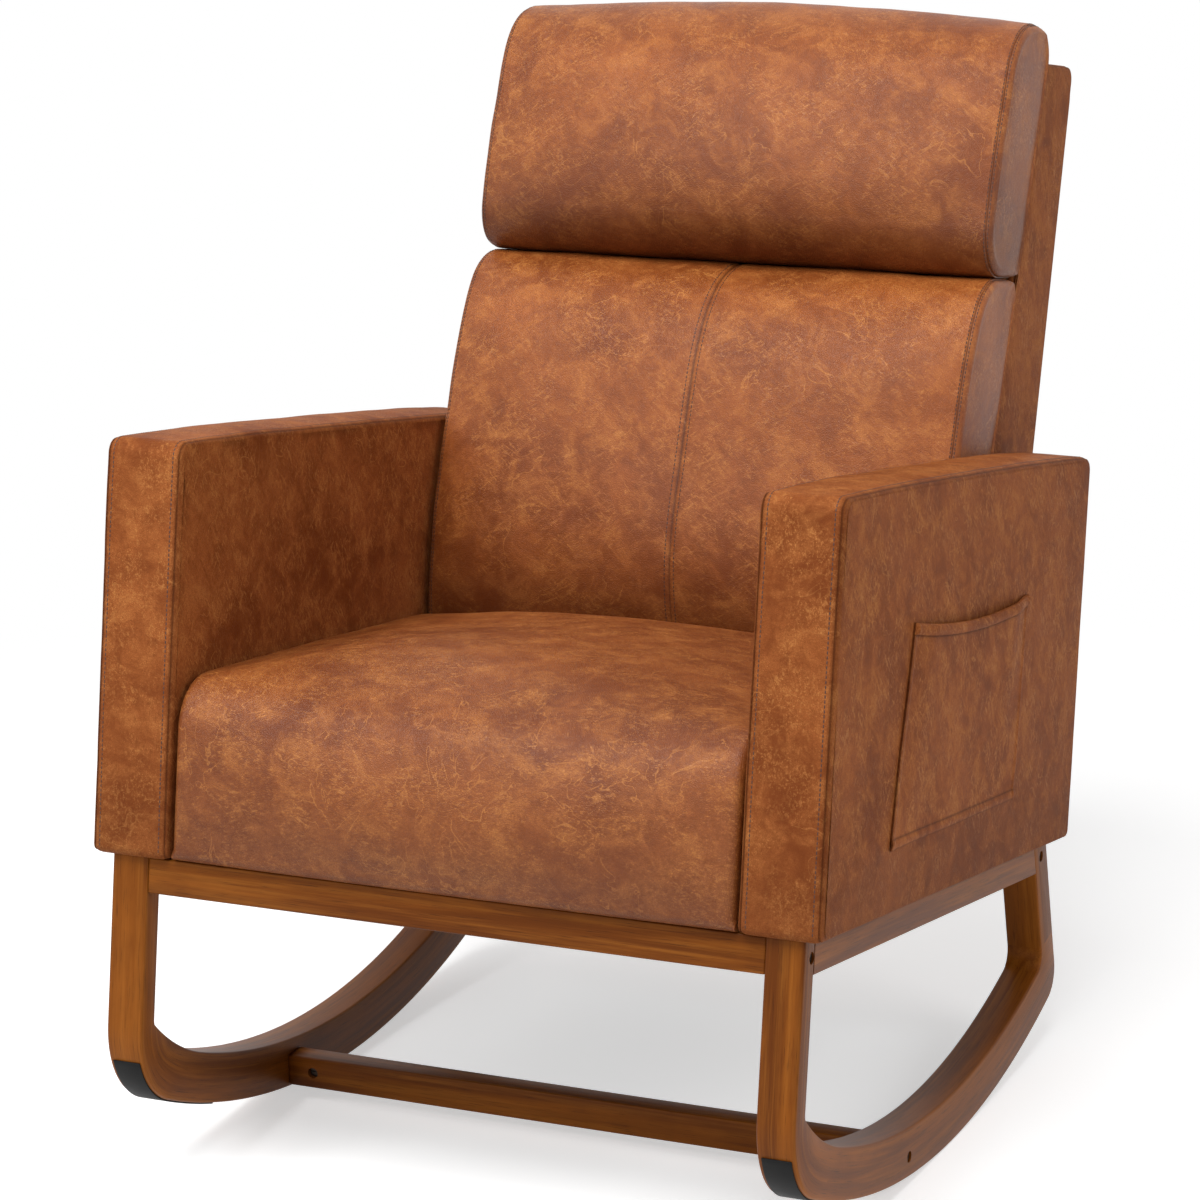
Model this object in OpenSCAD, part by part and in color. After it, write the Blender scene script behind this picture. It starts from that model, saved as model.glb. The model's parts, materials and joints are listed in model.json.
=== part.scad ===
// Upholstered rocking chair: a padded seat, arms and a two-cushion back on a timber base
// whose two closed side frames end in curved runners.
//
// Everything is drawn square to the arms, with X across the chair, Y from the front of
// the arms to the back and Z up from the underside of the arms. The last module leans
// the chair back as it stands at rest and puts its lowest line on the floor.

/* [Overall] */
// Width over both arms
chair_w = 680; // [640:2:720]
// Thickness of one arm
arm_w = 72; // [66:1:80]
// Depth of the arms from front to back
arm_d = 672; // [660:2:690]
// Height of the arms above the timber base
arm_h = 363; // [340:1:390]
// How far the chair leans back at rest, in degrees
lean = 8.6; // [4:0.1:10]

/* [Timber side frames] */
// Thickness of the side frames across the chair
member_t = 35; // [32:1:40]
// How far the side frames stand in from the outside of the arms
member_inset = 14; // [8:1:18]
// Setback of the front legs from the front of the arms
leg_set = 8.5; // [6:0.5:12]
// Depth of the front legs
leg_d = 24; // [22:0.5:28]
// Height of the rails under the arms
rail_h = 32; // [28:1:36]
// Height below the arms at which a front leg is joined to its runner
leg_joint = 128; // [110:1:136]
// Radius of the curve on which the chair rocks
runner_r = 871; // [840:1:900]
// Thickness of the runners
runner_t = 46; // [42:1:50]
// Distance of the rocking curve's middle ahead of the middle between the legs
runner_ahead = 35.25; // [25.25:1:45.25]
// Depth of the rocking curve's lowest line below the arms
runner_drop = 259; // [250:1:268]
// Radius of the outer corner between front leg and runner
toe_r = 78; // [60:1:90]
// Radius of the hollow inside that corner
hollow_r = 240; // [220:1:270]
// Where that hollow runs into the inner curve, in degrees from the middle
hollow_turn = 11.8; // [11:0.1:12.5]
// Depth of the rear legs, square to their slope
heel_w = 36; // [34:0.5:38]
// Slope of the rear legs, in degrees
heel_slope = 22.4; // [20:0.1:24]
// Distance of the rear legs' back corner ahead of the back of the arms
heel_set = 18; // [12:1:24]
// Radius of the outer corner between rear leg and runner
heel_r = 27; // [20:1:32]
// Radius of the inner corner between rear leg and runner
heel_in_r = 18; // [12:1:22]
// Length of the rear legs down to their joint with the runners
heel_joint = 103; // [95:1:108]

/* [Cross members] */
// Thickness of the front and rear cross rails
rail_t = 34; // [30:1:36]
// Setback of the front cross rail behind the front legs
rail_set = 1.5; // [0.5:0.5:3]
// Depth of the stretcher between the runners
stretcher_d = 24; // [20:1:26]
// Height of the stretcher
stretcher_h = 30; // [26:1:34]
// Tilt of the stretcher, in degrees
stretcher_tilt = 10; // [0:1:14]
// Distance of the stretcher behind the rocking curve's middle
stretcher_set = 7; // [-16:1:34]
// Height of the stretcher's middle above the runners' lowest line
stretcher_up = 19; // [17:0.5:24]

/* [Runner pads] */
// Thickness of the rubber pads
pad_t = 1.5; // [1:0.1:2.5]
// Distance of the pads' edges from the sides of a runner
pad_edge = 4; // [2:0.5:8]
// Where the pads end behind the front of the arms
pad_end = 153; // [130:1:180]
// Where the pads begin on the toe, in degrees below the horizontal
pad_turn = 25; // [15:1:40]

/* [Fasteners] */
// Diameter of the frame bolts
bolt_d = 6; // [5:0.5:6.5]
// Diameter of the frame bolts' heads
bolt_head_d = 10; // [9:0.5:11]
// Diameter of the barrel nuts
nut_d = 10; // [9.5:0.5:11]
// Length of the barrel nuts
nut_l = 14; // [12:1:16]
// Distance of the barrel nuts from the end of their rail
nut_in = 26; // [22:1:32]
// Diameter of the wooden dowels
dowel_d = 6; // [5:0.5:6.5]
// Length of the wooden dowels
dowel_l = 30; // [24:1:32]
// Diameter of the upholstery bolts
cap_d = 8; // [7:0.5:8.5]
// Diameter of the upholstery bolts' heads
cap_head_d = 13; // [12:0.5:14]
// Diameter of the threaded inserts
insert_d = 11; // [10:0.5:12]
// Length of the threaded inserts
insert_l = 14; // [12:1:16]

/* [Seat box] */
// Height of the boards round the seat
board_h = 60; // [54:1:64]
// Thickness of the boards round the seat
board_t = 24; // [22:1:26]
// Thickness of the seat's front skirt
skirt_t = 15; // [12:1:18]
// How far the deck board reaches forward of the back frame
deck_ahead = 41.5; // [36:0.5:47]
// Width of the deck board from front to back
deck_w = 114; // [108:1:120]
// Leg of the triangular corner blocks
block_leg = 60; // [45:1:70]
// Number of sinuous springs
springs = 4; // [3:1:5]
// Diameter of the spring wire
wire_d = 4; // [3.5:0.1:4.5]
// How far a spring arches up in the middle
spring_rise = 5; // [2:0.5:8]
// Width of a spring's waves
wave_w = 46; // [38:1:52]
// Number of waves in a spring
waves = 9; // [7:1:10]
// Thickness of the felt over the springs
felt_t = 3; // [2:0.5:4]
// Thickness of the dust cloth under the seat
cloth_t = 1; // [0.8:0.1:1.5]

/* [Seat cushion] */
// Gap between the seat cushion and each arm
seat_gap = 5; // [3:0.5:8]
// Height of the seat's side edges at the front
seat_front_h = 163; // [150:1:175]
// Height of the seat's side edges at the back
seat_back_h = 180; // [170:1:190]
// Rise of the seat's middle above its side edges
seat_crown = 24; // [12:1:30]
// Forward bulge of the seat's front
seat_belly = 12; // [4:1:18]
// Radius of the seat's front top edge
seat_edge_r = 46; // [34:1:56]

/* [Arms] */
// Thickness of the arms' padding and cover
skin_t = 11; // [9:0.5:13]
// Thickness of the cover turned in under the arms
flap_t = 3; // [2:0.5:4]
// Radius of the arms' front top corner
arm_r = 17; // [10:1:22]
// Radius of the arms' lower corners
arm_low_r = 8; // [4:1:12]
// Width of the arm frames' timber
stick_w = 45; // [38:1:50]

/* [Side pocket] */
// Width of the pocket's mouth
mouth_w = 313; // [280:1:330]
// Height of the pocket's mouth above the base
mouth_up = 250; // [235:1:270]
// Distance of the mouth's front end behind the front of the arms
mouth_y = 176; // [165:1:200]
// Height of the pocket's lower edge above the base
pocket_low = 63; // [50:1:80]
// How far the pocket's front edge runs forward as it goes down
pocket_flare = 18; // [0:1:24]
// Room between the pocket and the arm
pocket_room = 5; // [4.6:0.1:7]
// Thickness of the pocket's leather
hide_t = 2; // [1.5:0.1:2.5]
// Height of the rolled hem at the mouth
hem_h = 9; // [7:0.5:12]

/* [Back frame] */
// Gap between the back and each arm
back_gap = 6; // [4:0.5:10]
// Distance of the back frame's front edge ahead of the arms' back, at arm height zero
back_in = 152.5; // [148:0.5:157]
// Slope of the back frame's front edge, in degrees
back_slope = 14.7; // [14:0.1:15.4]
// How far the back's rear face stands behind the arms, at arm height zero
rear_out = 19; // [17:0.5:24]
// Slope of the back's rear face, in degrees
rear_slope = 8.4; // [7.8:0.1:9]
// Height of the back frame's top above the base
back_top = 737; // [715:1:745]
// Radius of the back's rear top edge
back_edge_r = 14; // [8:1:20]
// Thickness of the back's padding and cover
back_skin = 5; // [4:0.5:8]
// Thickness of the back frame's plywood
ply_t = 15; // [12:1:18]
// Depth of the back frame's middle rail
mid_rail_d = 60; // [50:1:70]
// Width of the elastic webbing
web_w = 50; // [40:1:60]
// Thickness of the elastic webbing
web_t = 1.5; // [1:0.1:2]

/* [Back cushions] */
// Gap between the two back cushions and each arm
pillow_gap = 9; // [6:0.5:14]
// Height of the crease between the two cushions above the base
crease_up = 532; // [520:1:545]
// How far the lower cushion's foot stands ahead of the back frame
lumbar_t = 43.5; // [37.5:1:49.5]
// Distance of the lower cushion's head behind its foot
lumbar_lean = 116; // [109:1:124]
// Forward bulge of the lower cushion's side edges
lumbar_side = 30; // [20:1:36]
// Further bulge of the lower cushion's middle
lumbar_crown = 40; // [20:1:46]
// How far the head cushion's foot stands ahead of the lower cushion's head
head_ahead = 31; // [22:1:37]
// Distance of the head cushion's top front edge behind its foot
head_lean = 56; // [49:1:64]
// Height of the head cushion's top above the base
head_top = 776; // [760:1:790]
// Forward bulge of the head cushion's middle
head_crown = 12; // [4:1:20]
// Rise of the head cushion's top in the middle
head_rise = 10; // [4:1:14]

// How far the middle seam draws the lower cushion in
seam_draw = 3; // [0:0.5:5]

/* [Brackets] */
// Length of each leg of the back brackets
bracket_leg = 36; // [32:1:40]
// Width of the back brackets
bracket_w = 44; // [36:1:50]
// Thickness of the back brackets
bracket_t = 3; // [2:0.5:4]
// Distance of the outer brackets from the middle of the chair
bracket_x = 170; // [140:1:190]
// Diameter of the wood screws
screw_d = 4.5; // [4:0.5:5]

/* [Hidden] */

// Clearance round fasteners and between pieces that rest on each other
fit = 0.1;
ease = 0.3;
big = 1000;
hair = 0.02;
$fn = 48;

// Side planes
side_out = chair_w / 2 - member_inset;
side_in = side_out - member_t;
side_mid = side_out - member_t / 2;
arm_in = chair_w / 2 - arm_w;

// The two curves of a runner share one centre
heel_y = arm_d - heel_set;
runner_mid = (leg_set + heel_y) / 2 - runner_ahead;
arc_c = [runner_mid, runner_r - runner_drop];
inner_r = runner_r - runner_t;

// Front leg and the corner below it
leg_back = leg_set + leg_d;
toe_c = line_arc([leg_set, 0], [0, -1], [-1, 0], toe_r, runner_r);
hollow_dir = [-sin(hollow_turn), -cos(hollow_turn)];
hollow_c = arc_c + (inner_r - hollow_r) * hollow_dir;

// Rear leg: down direction, outward direction and its two corners
heel_d = [sin(heel_slope), -cos(heel_slope)];
heel_n = [cos(heel_slope), sin(heel_slope)];
heel_p = [heel_y, 0];
heel_q = heel_p - heel_w * heel_n;
heel_foot = heel_p + heel_joint * heel_d;
heel_c = line_arc(heel_p, heel_d, heel_n, heel_r, runner_r);
heel_in_c = line_arc(heel_q, heel_d, heel_n, heel_in_r, inner_r);
toe_dir = unit(toe_c - arc_c);
heel_dir = unit(heel_c - arc_c);
heel_in_dir = unit(heel_in_c - arc_c);

// Bolts of the base: front and rear rails and the stretcher
bolt_z = -rail_h / 2;
front_bolt_y = leg_back - 7;
rear_bolt_y = heel_inner(-bolt_z) + heel_w / cos(heel_slope) / 2;
front_rail_y = leg_set + rail_set;
rear_rail_y = rear_bolt_y - rail_t / 2;
stretcher_y = runner_mid + stretcher_set;
stretcher_z = stretcher_up - runner_drop;
head_l = 6;
head_sink = 2;
bolt_tip = nut_in + nut_d / 2 + 6;

// Seat box
box_half = arm_in - ease;
box_front = skirt_t + 2;
box_rear = rear_bolt_y + board_t / 2;
box_z = ease;
box_top = box_z + board_h;
back_y = arm_d - back_in;
deck_front = back_y - deck_ahead;
deck_back = deck_front + deck_w;
wire_z = box_top + wire_d / 2 + 1;
felt_z = wire_z + spring_rise + wire_d / 2 + ease;
foam_z = felt_z + felt_t + ease;

// Upholstery bolts
cap_head_l = 6;
base_bolt_y = [130, arm_d - 172];
seat_bolt_x = chair_w / 4;
seat_bolt_y = [box_front + board_t / 2, rear_bolt_y];
side_bolt_y = [
    box_front + board_t + block_leg + cap_head_d,
    box_rear - board_t - block_leg - cap_head_d
];
side_bolt_z = board_h / 2;

// Arm frame inside its padding
core_in = arm_in + skin_t;
core_out = chair_w / 2 - skin_t;
core_front = skin_t;
core_back = arm_d - skin_t;
core_top = arm_h - skin_t;
frame_front = core_front + ease;
frame_back = core_back - ease;
frame_low = 2 * ease + flap_t;
frame_top = core_top - ease;

// Back frame: its front edge is a sloping line, its rear face another
back_rise = tan(back_slope);
rear_rise = tan(rear_slope);
rear_y = arm_d + rear_out;
back_half = arm_in - back_gap;
pillow_half = arm_in - pillow_gap;
lumbar_foot = back_y - lumbar_t;
lumbar_head = lumbar_foot + lumbar_lean;
head_foot = lumbar_head - head_ahead;
head_brow = head_foot + head_lean;
stand_z = box_top + ease;
back_low = 3;
back_seam_z = back_top - back_edge_r - back_skin;
stile_x = back_half - back_skin - ease;
web_gap = web_t + 2 * ease;
rail_x = stile_x - ply_t - ease;
bracket_spots = [-bracket_x, 0, bracket_x];
ply_across = ply_t / cos(back_slope);
bracket_y = front_line(stand_z) + ply_across;
bracket_screw_at = [14, bracket_leg - 8];
bottom_rail_h = 60;
screw_l = 14;
screw_head_h = 2;

// How far the pocket with its hem stands out from the arm
pocket_out = pocket_room + 2 * hide_t + ease / 3;

// Rest pose
toe_reach = toe_c[0] * cos(lean) + toe_c[1] * sin(lean) - toe_r;
rear_edge_c = [
    rear_line(back_top) - back_edge_r * (1 + sin(rear_slope)) / cos(rear_slope),
    back_top - back_edge_r
];
back_reach = rear_edge_c[0] * cos(lean) + rear_edge_c[1] * sin(lean) + back_edge_r;
floor_z = runner_r + runner_mid * sin(lean) - arc_c[1] * cos(lean);
middle_y = (toe_reach + back_reach) / 2;

wood = "saddlebrown";
hide = "chocolate";
pine = "burlywood";
steel = "silver";
dark_steel = "dimgray";

function unit(v) = v / norm(v);
function heel_inner(down) = heel_y - heel_w / cos(heel_slope) + down * tan(heel_slope);
function front_line(z) = back_y + back_rise * z;
function rear_line(z) = rear_y + rear_rise * z;

// Centre of the circle of radius r that touches a line through p, with direction d and
// outward normal n, from the inside, and the circle of radius big_r round arc_c
function line_arc(p, d, n, r, big_r) =
    let (w = p - r * n - arc_c, b = w * d, q = w * w - pow(big_r - r, 2))
    p - r * n + (sqrt(b * b - q) - b) * d;

// Points of a closed outline with rounded corners, each as
// [y, z, outward y, outward z, side bulge, crown].
// A corner is [y, z, radius]. The edge after it has its number of cuts, its side bulge,
// its crown and the shape that both follow from the edge's start, 0, to its end, 1.
function rounded(corners, edges, steps) = [
    for (i = [0 : len(corners) - 1])
        let (
            q = corner_at(corners, i), u = toward(corners, i, -1), v = toward(corners, i, 1),
            r = corners[i][2], half = acos(u * v) / 2,
            hollow = cross(u, v) > 0 ? -1 : 1,
            c = q + unit(u + v) * r / sin(half),
            from = q + u * r / tan(half) - c,
            a0 = atan2(from[1], from[0]), turn = hollow * (180 - 2 * half),
            start = q + v * r / tan(half), span = edge_end(corners, i + 1) - start,
            edge = edges[i], out = [v[1], -v[0]]
        )
        each concat(
            [for (k = [0 : steps])
                let (a = a0 + turn * k / steps)
                [c[0] + r * cos(a), c[1] + r * sin(a), hollow * cos(a), hollow * sin(a), 0, 0]],
            [for (k = [1 : 1 : edge[0]])
                let (
                    t = (1 - cos(180 * k / (edge[0] + 1))) / 2,
                    w = edge[3](t), m = start + t * span
                )
                [m[0], m[1], out[0], out[1], w * edge[1], w * edge[2]]]
        )
];
function corner_at(corners, i) = let (c = corners[i % len(corners)]) [c[0], c[1]];
function toward(corners, i, way) =
    unit(corner_at(corners, i + len(corners) + way) - corner_at(corners, i));
function edge_end(corners, i) =
    let (u = toward(corners, i, -1), half = acos(u * toward(corners, i, 1)) / 2)
    corner_at(corners, i) + u * corners[i % len(corners)][2] / tan(half);

// Shapes of an edge: straight, evenly bowed, held up from its start, and tucked in at its end
straight = function(t) 0;
bowed = function(t) 1 - pow(abs(2 * t - 1), 4);
held = function(t) 1 - pow(abs(2 * t - 1), t > 0.5 ? 4 : 14);
tucked = function(t) t < 0.42 ? 1 - pow((0.42 - t) / 0.45, 4) : max(0, 1 - pow((t - 0.42) / 0.4, 2.8));

// Stations across a cushion as [x, how far the outline is drawn in, share of the crown],
// with a seam that draws the middle in
function stations(half, edge_r, inner, steps, seam) =
    let (flat = half - edge_r)
    concat(
        [for (k = [0 : steps - 1]) station_end(-1, half, edge_r, 90 - 90 * k / steps)],
        [for (k = [0 : inner]) station_between(-flat, -seam_w, k / inner, half)],
        [[0, seam, 1]],
        [for (k = [0 : inner]) station_between(seam_w, flat, k / inner, half)],
        [for (k = [1 : steps]) station_end(1, half, edge_r, 90 * k / steps)]
    );
function station_between(x0, x1, t, half) = let (x = x0 + t * (x1 - x0)) [x, 0, crown_at(x, half)];
function station_end(side, half, r, a) =
    let (x = side * (half - r + r * sin(a))) [x, r - r * cos(a), crown_at(x, half)];
function crown_at(x, half) = 1 - pow(abs(x) / half, 2.2);

// Closed cushion: the outline carried across the chair, crowned and rounded at its ends,
// either all round or only along its front and top
module cushion(outline, half, edge_r, inner, steps, seam = 0, all_round = true) {
    across = stations(half, edge_r, inner, steps, seam);
    n = len(outline);
    m = len(across);
    rings = [
        for (s = across, o = outline)
            let (
                drawn = all_round ? 1 : max(0, min(1, o[3] - o[2])),
                out = o[4] + o[5] * s[2] - s[1] * drawn
            )
            [s[0], o[0] + o[2] * out, o[1] + o[3] * out]
    ];
    walls = [
        for (j = [0 : m - 2], i = [0 : n - 1])
            let (a = j * n + i, b = j * n + (i + 1) % n, c = a + n, d = b + n)
            each [[a, d, b], [a, c, d]]
    ];
    ends = [[for (i = [0 : n - 1]) i], [for (i = [n - 1 : -1 : 0]) (m - 1) * n + i]];
    polyhedron(points = rings, faces = concat(walls, ends), convexity = 4);
}

// Round wire along a nearly level path
module wire(path, r, sides) {
    n = len(path);
    points = [
        for (i = [0 : n - 1])
            let (
                t = unit(path[min(i + 1, n - 1)] - path[max(i - 1, 0)]),
                a = unit(cross(t, [0, 0, 1])), b = cross(a, t)
            )
            for (k = [0 : sides - 1]) path[i] + r * (cos(360 * k / sides) * a + sin(360 * k / sides) * b)
    ];
    walls = [
        for (i = [0 : n - 2], k = [0 : sides - 1])
            let (a = i * sides + k, b = i * sides + (k + 1) % sides, c = a + sides, d = b + sides)
            each [[a, d, b], [a, c, d]]
    ];
    ends = [
        [for (k = [0 : sides - 1]) k],
        [for (k = [sides - 1 : -1 : 0]) (n - 1) * sides + k]
    ];
    polyhedron(points = points, faces = concat(walls, ends), convexity = 6);
}

// Leans the chair back and stands it on the floor, over the middle of its overall size
module at_rest() {
    translate([-pocket_out / 2, -middle_y, floor_z]) rotate([-lean, 0, 0]) children();
}

// Carries a side view, drawn in Y and Z, across the chair from x0 to x1
module across(x0, x1) {
    translate([x0, 0, 0]) rotate([90, 0, 90]) linear_extrude(x1 - x0) children();
}

// The same on one side of the chair only: side is 1 on the right and -1 on the left
module on_side(side, x0, x1) {
    across(side > 0 ? x0 : -x1, side > 0 ? x1 : -x0) children();
}

module bar_x(x0, x1, y, z, d) {
    translate([x0, y, z]) rotate([0, 90, 0]) cylinder(h = x1 - x0, d = d);
}

// The same on one side of the chair only, given for the right side
module side_bar(side, x0, x1, y, z, d) {
    bar_x(side > 0 ? x0 : -x1, side > 0 ? x1 : -x0, y, z, d);
}

module bar_y(y0, y1, x, z, d) {
    translate([x, y0, z]) rotate([-90, 0, 0]) cylinder(h = y1 - y0, d = d);
}

module bar_z(z0, z1, x, y, d) {
    translate([x, y, z0]) cylinder(h = z1 - z0, d = d);
}

module block(x0, x1, y0, y1, z0, z1) {
    translate([x0, y0, z0]) cube([x1 - x0, y1 - y0, z1 - z0]);
}

// What lies outside a rounded corner: between two rays from its centre, beyond its radius.
// The circle stands over both edges by a hair, so that it crosses them.
module corner_waste(c, r, u, v) {
    difference() {
        polygon([c, c + 3 * r * u, c + 3 * r * (u + v), c + 3 * r * v]);
        translate(c) circle(r = r + hair, $fn = 96);
    }
}

// Outer outline of a closed side frame: its legs' outer lines and the curve below them
module loop_outside(grow = 0) {
    difference() {
        intersection() {
            translate(arc_c) circle(r = runner_r + grow, $fn = 360);
            polygon([
                [leg_set - grow, 0], [leg_set - grow, -big / 2],
                heel_p + grow * heel_n + big / 2 * heel_d, heel_p + grow * heel_n
            ]);
        }
        corner_waste(toe_c, toe_r + grow, [-1, 0], toe_dir);
        corner_waste(heel_c, heel_r + grow, heel_n, heel_dir);
    }
}

// Opening of a closed side frame
module loop_inside() {
    difference() {
        intersection() {
            translate(arc_c) circle(r = inner_r, $fn = 360);
            polygon([
                [leg_back, -rail_h], [leg_back, -big / 2],
                heel_q + big / 2 * heel_d, [heel_inner(rail_h), -rail_h]
            ]);
        }
        difference() {
            polygon([
                hollow_c, hollow_c + big * hollow_dir,
                hollow_c + big * hollow_dir - [big, 0], hollow_c - [big, 0]
            ]);
            translate(hollow_c) circle(r = hollow_r + hair, $fn = 240);
        }
        corner_waste(heel_in_c, heel_in_r, heel_n, heel_in_dir);
    }
}

// Side view of the part of the loop below the joints with both legs
module runner_view() {
    intersection() {
        difference() {
            loop_outside();
            loop_inside();
        }
        polygon([
            [-50, -leg_joint], [runner_mid, -leg_joint], heel_foot - (heel_w + 20) * heel_n,
            heel_foot + 60 * heel_n, heel_foot + 60 * heel_n - [0, big / 2], [-50, -big / 2]
        ]);
    }
}

// Holes for the bolt and the dowel at one end of a cross member
module bolt_hole(side, y, z) {
    side_bar(side, side_in - bolt_tip - 1, side_out + 1, y, z, bolt_d + 2 * fit);
    side_bar(side, side_out - head_sink - head_l, side_out + 1, y, z, bolt_head_d + 4 * fit);
}

module dowel_hole(side, y, z) {
    side_bar(side, side_in - dowel_l / 2 - fit, side_in + dowel_l / 2 + fit, y, z, dowel_d + 2 * fit);
}

// Dowel spots beside the bolts of the base
front_dowel_y = leg_set + 8;
rear_dowel_y = rear_bolt_y + 11;
stretcher_dowel = [
    stretcher_y + (stretcher_h / 2 - 5) * sin(stretcher_tilt),
    stretcher_z - (stretcher_h / 2 - 5) * cos(stretcher_tilt)
];

module front_leg(side) {
    x0 = side > 0 ? side_in : -side_out;
    color(wood) difference() {
        block(x0, x0 + member_t, leg_set, leg_back, -leg_joint, 0);
        bolt_hole(side, front_bolt_y, bolt_z);
        dowel_hole(side, front_dowel_y, bolt_z);
        loop_dowel_holes(side);
    }
}

module runner(side) {
    color(wood) difference() {
        on_side(side, side_in, side_out) runner_view();
        bolt_hole(side, stretcher_y, stretcher_z);
        dowel_hole(side, stretcher_dowel[0], stretcher_dowel[1]);
        loop_dowel_holes(side);
    }
}

module rear_leg(side) {
    color(wood) difference() {
        on_side(side, side_in, side_out)
            polygon([heel_p, heel_foot, heel_foot - heel_w * heel_n, [heel_inner(0), 0]]);
        bolt_hole(side, rear_bolt_y, bolt_z);
        dowel_hole(side, rear_dowel_y, bolt_z);
        loop_dowel_holes(side);
    }
}

module side_rail(side) {
    color(wood) difference() {
        on_side(side, side_in, side_out)
            polygon([[leg_back, 0], [leg_back, -rail_h], [heel_inner(rail_h), -rail_h], [heel_inner(0), 0]]);
        loop_dowel_holes(side);
        for (y = base_bolt_y) {
            bar_z(-rail_h - 1, 1, side * side_mid, y, cap_d + 2 * fit);
            bar_z(-rail_h - 1, -rail_h + head_sink + cap_head_l, side * side_mid, y, cap_head_d + 4 * fit);
        }
    }
}

// Glued dowels inside a side frame: two across the rail's ends, one in each leg's foot
module loop_dowel(side, extra) {
    low = -rail_h + 7;
    d = dowel_d + 2 * extra;
    l = dowel_l / 2 + extra;
    foot = heel_foot - heel_w / 2 * heel_n;
    bar_y(leg_back - l, leg_back + l, side * side_mid, low, d);
    bar_y(heel_inner(-low) - l, heel_inner(-low) + l, side * side_mid, low, d);
    bar_z(-leg_joint - l, -leg_joint + l, side * side_mid, leg_set + leg_d / 2, d);
    translate([side * side_mid, foot[0], foot[1]])
        rotate([heel_slope, 0, 0]) translate([0, 0, -l]) cylinder(h = 2 * l, d = d);
}

module loop_dowel_holes(side) { loop_dowel(side, fit); }

module loop_dowels() {
    color(pine) for (side = [-1, 1]) loop_dowel(side, 0);
}

module rail_dowels() {
    color(pine) for (side = [-1, 1]) {
        dowel_spot(side, front_dowel_y, bolt_z);
        dowel_spot(side, rear_dowel_y, bolt_z);
        dowel_spot(side, stretcher_dowel[0], stretcher_dowel[1]);
    }
}

module dowel_spot(side, y, z) {
    side_bar(side, side_in - dowel_l / 2, side_in + dowel_l / 2, y, z, dowel_d);
}

// Socket for a barrel nut, from the face it is pushed in at
module nut_socket(y0, y1, z) {
    for (side = [-1, 1]) bar_y(y0, y1, side * (side_in - nut_in), z, nut_d + 2 * fit);
}

module front_rail() {
    color(wood) difference() {
        block(-side_in, side_in, front_rail_y, front_rail_y + rail_t, -rail_h, 0);
        for (side = [-1, 1]) {
            bolt_hole(side, front_bolt_y, bolt_z);
            dowel_hole(side, front_dowel_y, bolt_z);
            bar_z(-rail_h - 1, 1, side * seat_bolt_x, seat_bolt_y[0], cap_d + 2 * fit);
            bar_z(-rail_h - 1, -rail_h + head_sink + cap_head_l, side * seat_bolt_x, seat_bolt_y[0],
                cap_head_d + 4 * fit);
        }
        nut_socket(front_bolt_y - nut_l / 2 - fit, front_rail_y + rail_t + 1, bolt_z);
    }
}

module rear_rail() {
    color(wood) difference() {
        block(-side_in, side_in, rear_rail_y, rear_rail_y + rail_t, -rail_h, 0);
        for (side = [-1, 1]) {
            bolt_hole(side, rear_bolt_y, bolt_z);
            dowel_hole(side, rear_dowel_y, bolt_z);
            bar_z(-rail_h - 1, 1, side * seat_bolt_x, seat_bolt_y[1], cap_d + 2 * fit);
            bar_z(-rail_h - 1, -rail_h + head_sink + cap_head_l, side * seat_bolt_x, seat_bolt_y[1],
                cap_head_d + 4 * fit);
        }
        nut_socket(rear_rail_y - 1, rear_bolt_y + nut_l / 2 + fit, bolt_z);
    }
}

// Places what is drawn round the stretcher's own middle line
module on_stretcher() {
    translate([0, stretcher_y, stretcher_z]) rotate([stretcher_tilt, 0, 0]) children();
}

module stretcher() {
    color(wood) difference() {
        on_stretcher()
            block(-side_in, side_in, -stretcher_d / 2, stretcher_d / 2, -stretcher_h / 2, stretcher_h / 2);
        for (side = [-1, 1]) {
            bolt_hole(side, stretcher_y, stretcher_z);
            dowel_hole(side, stretcher_dowel[0], stretcher_dowel[1]);
        }
        on_stretcher() nut_socket(-stretcher_d / 2 - 1, nut_l / 2 + fit, 0);
    }
}

// Rubber strips glued on the front of both runners
module runner_pads() {
    color([0.06, 0.06, 0.06]) for (side = [-1, 1])
        on_side(side, side_in + pad_edge, side_out - pad_edge) intersection() {
            difference() {
                loop_outside(pad_t + ease / 3);
                loop_outside(ease / 3);
            }
            polygon([
                toe_c, toe_c - 2 * toe_r * [cos(pad_turn), sin(pad_turn)],
                [leg_set, -big / 2], [pad_end, -big / 2], [pad_end, toe_c[1]]
            ]);
        }
}

module frame_bolt(side, y, z) {
    head = side_out - head_sink;
    color(dark_steel) difference() {
        union() {
            side_bar(side, side_in - bolt_tip, head, y, z, bolt_d);
            side_bar(side, head - head_l, head, y, z, bolt_head_d);
        }
        translate([side > 0 ? head - 3 : -head - 1, y, z])
            rotate([0, 90, 0]) cylinder(h = 4, d = bolt_d * 0.7, $fn = 6);
    }
}

module frame_bolts() {
    for (side = [-1, 1]) {
        frame_bolt(side, front_bolt_y, bolt_z);
        frame_bolt(side, rear_bolt_y, bolt_z);
        frame_bolt(side, stretcher_y, stretcher_z);
    }
}

// Cross dowel of steel with a threaded cross hole and a screwdriver slot at one end
module barrel_nut(side, slot_y) {
    color(dark_steel) difference() {
        bar_y(-nut_l / 2, nut_l / 2, side * (side_in - nut_in), 0, nut_d);
        bar_x(side * (side_in - nut_in) - nut_d, side * (side_in - nut_in) + nut_d, 0, 0, bolt_d + 2 * fit);
        block(side * (side_in - nut_in) - nut_d, side * (side_in - nut_in) + nut_d,
            slot_y * nut_l / 2 - 1.2, slot_y * nut_l / 2 + 1.2, -0.6, 0.6);
    }
}

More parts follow.
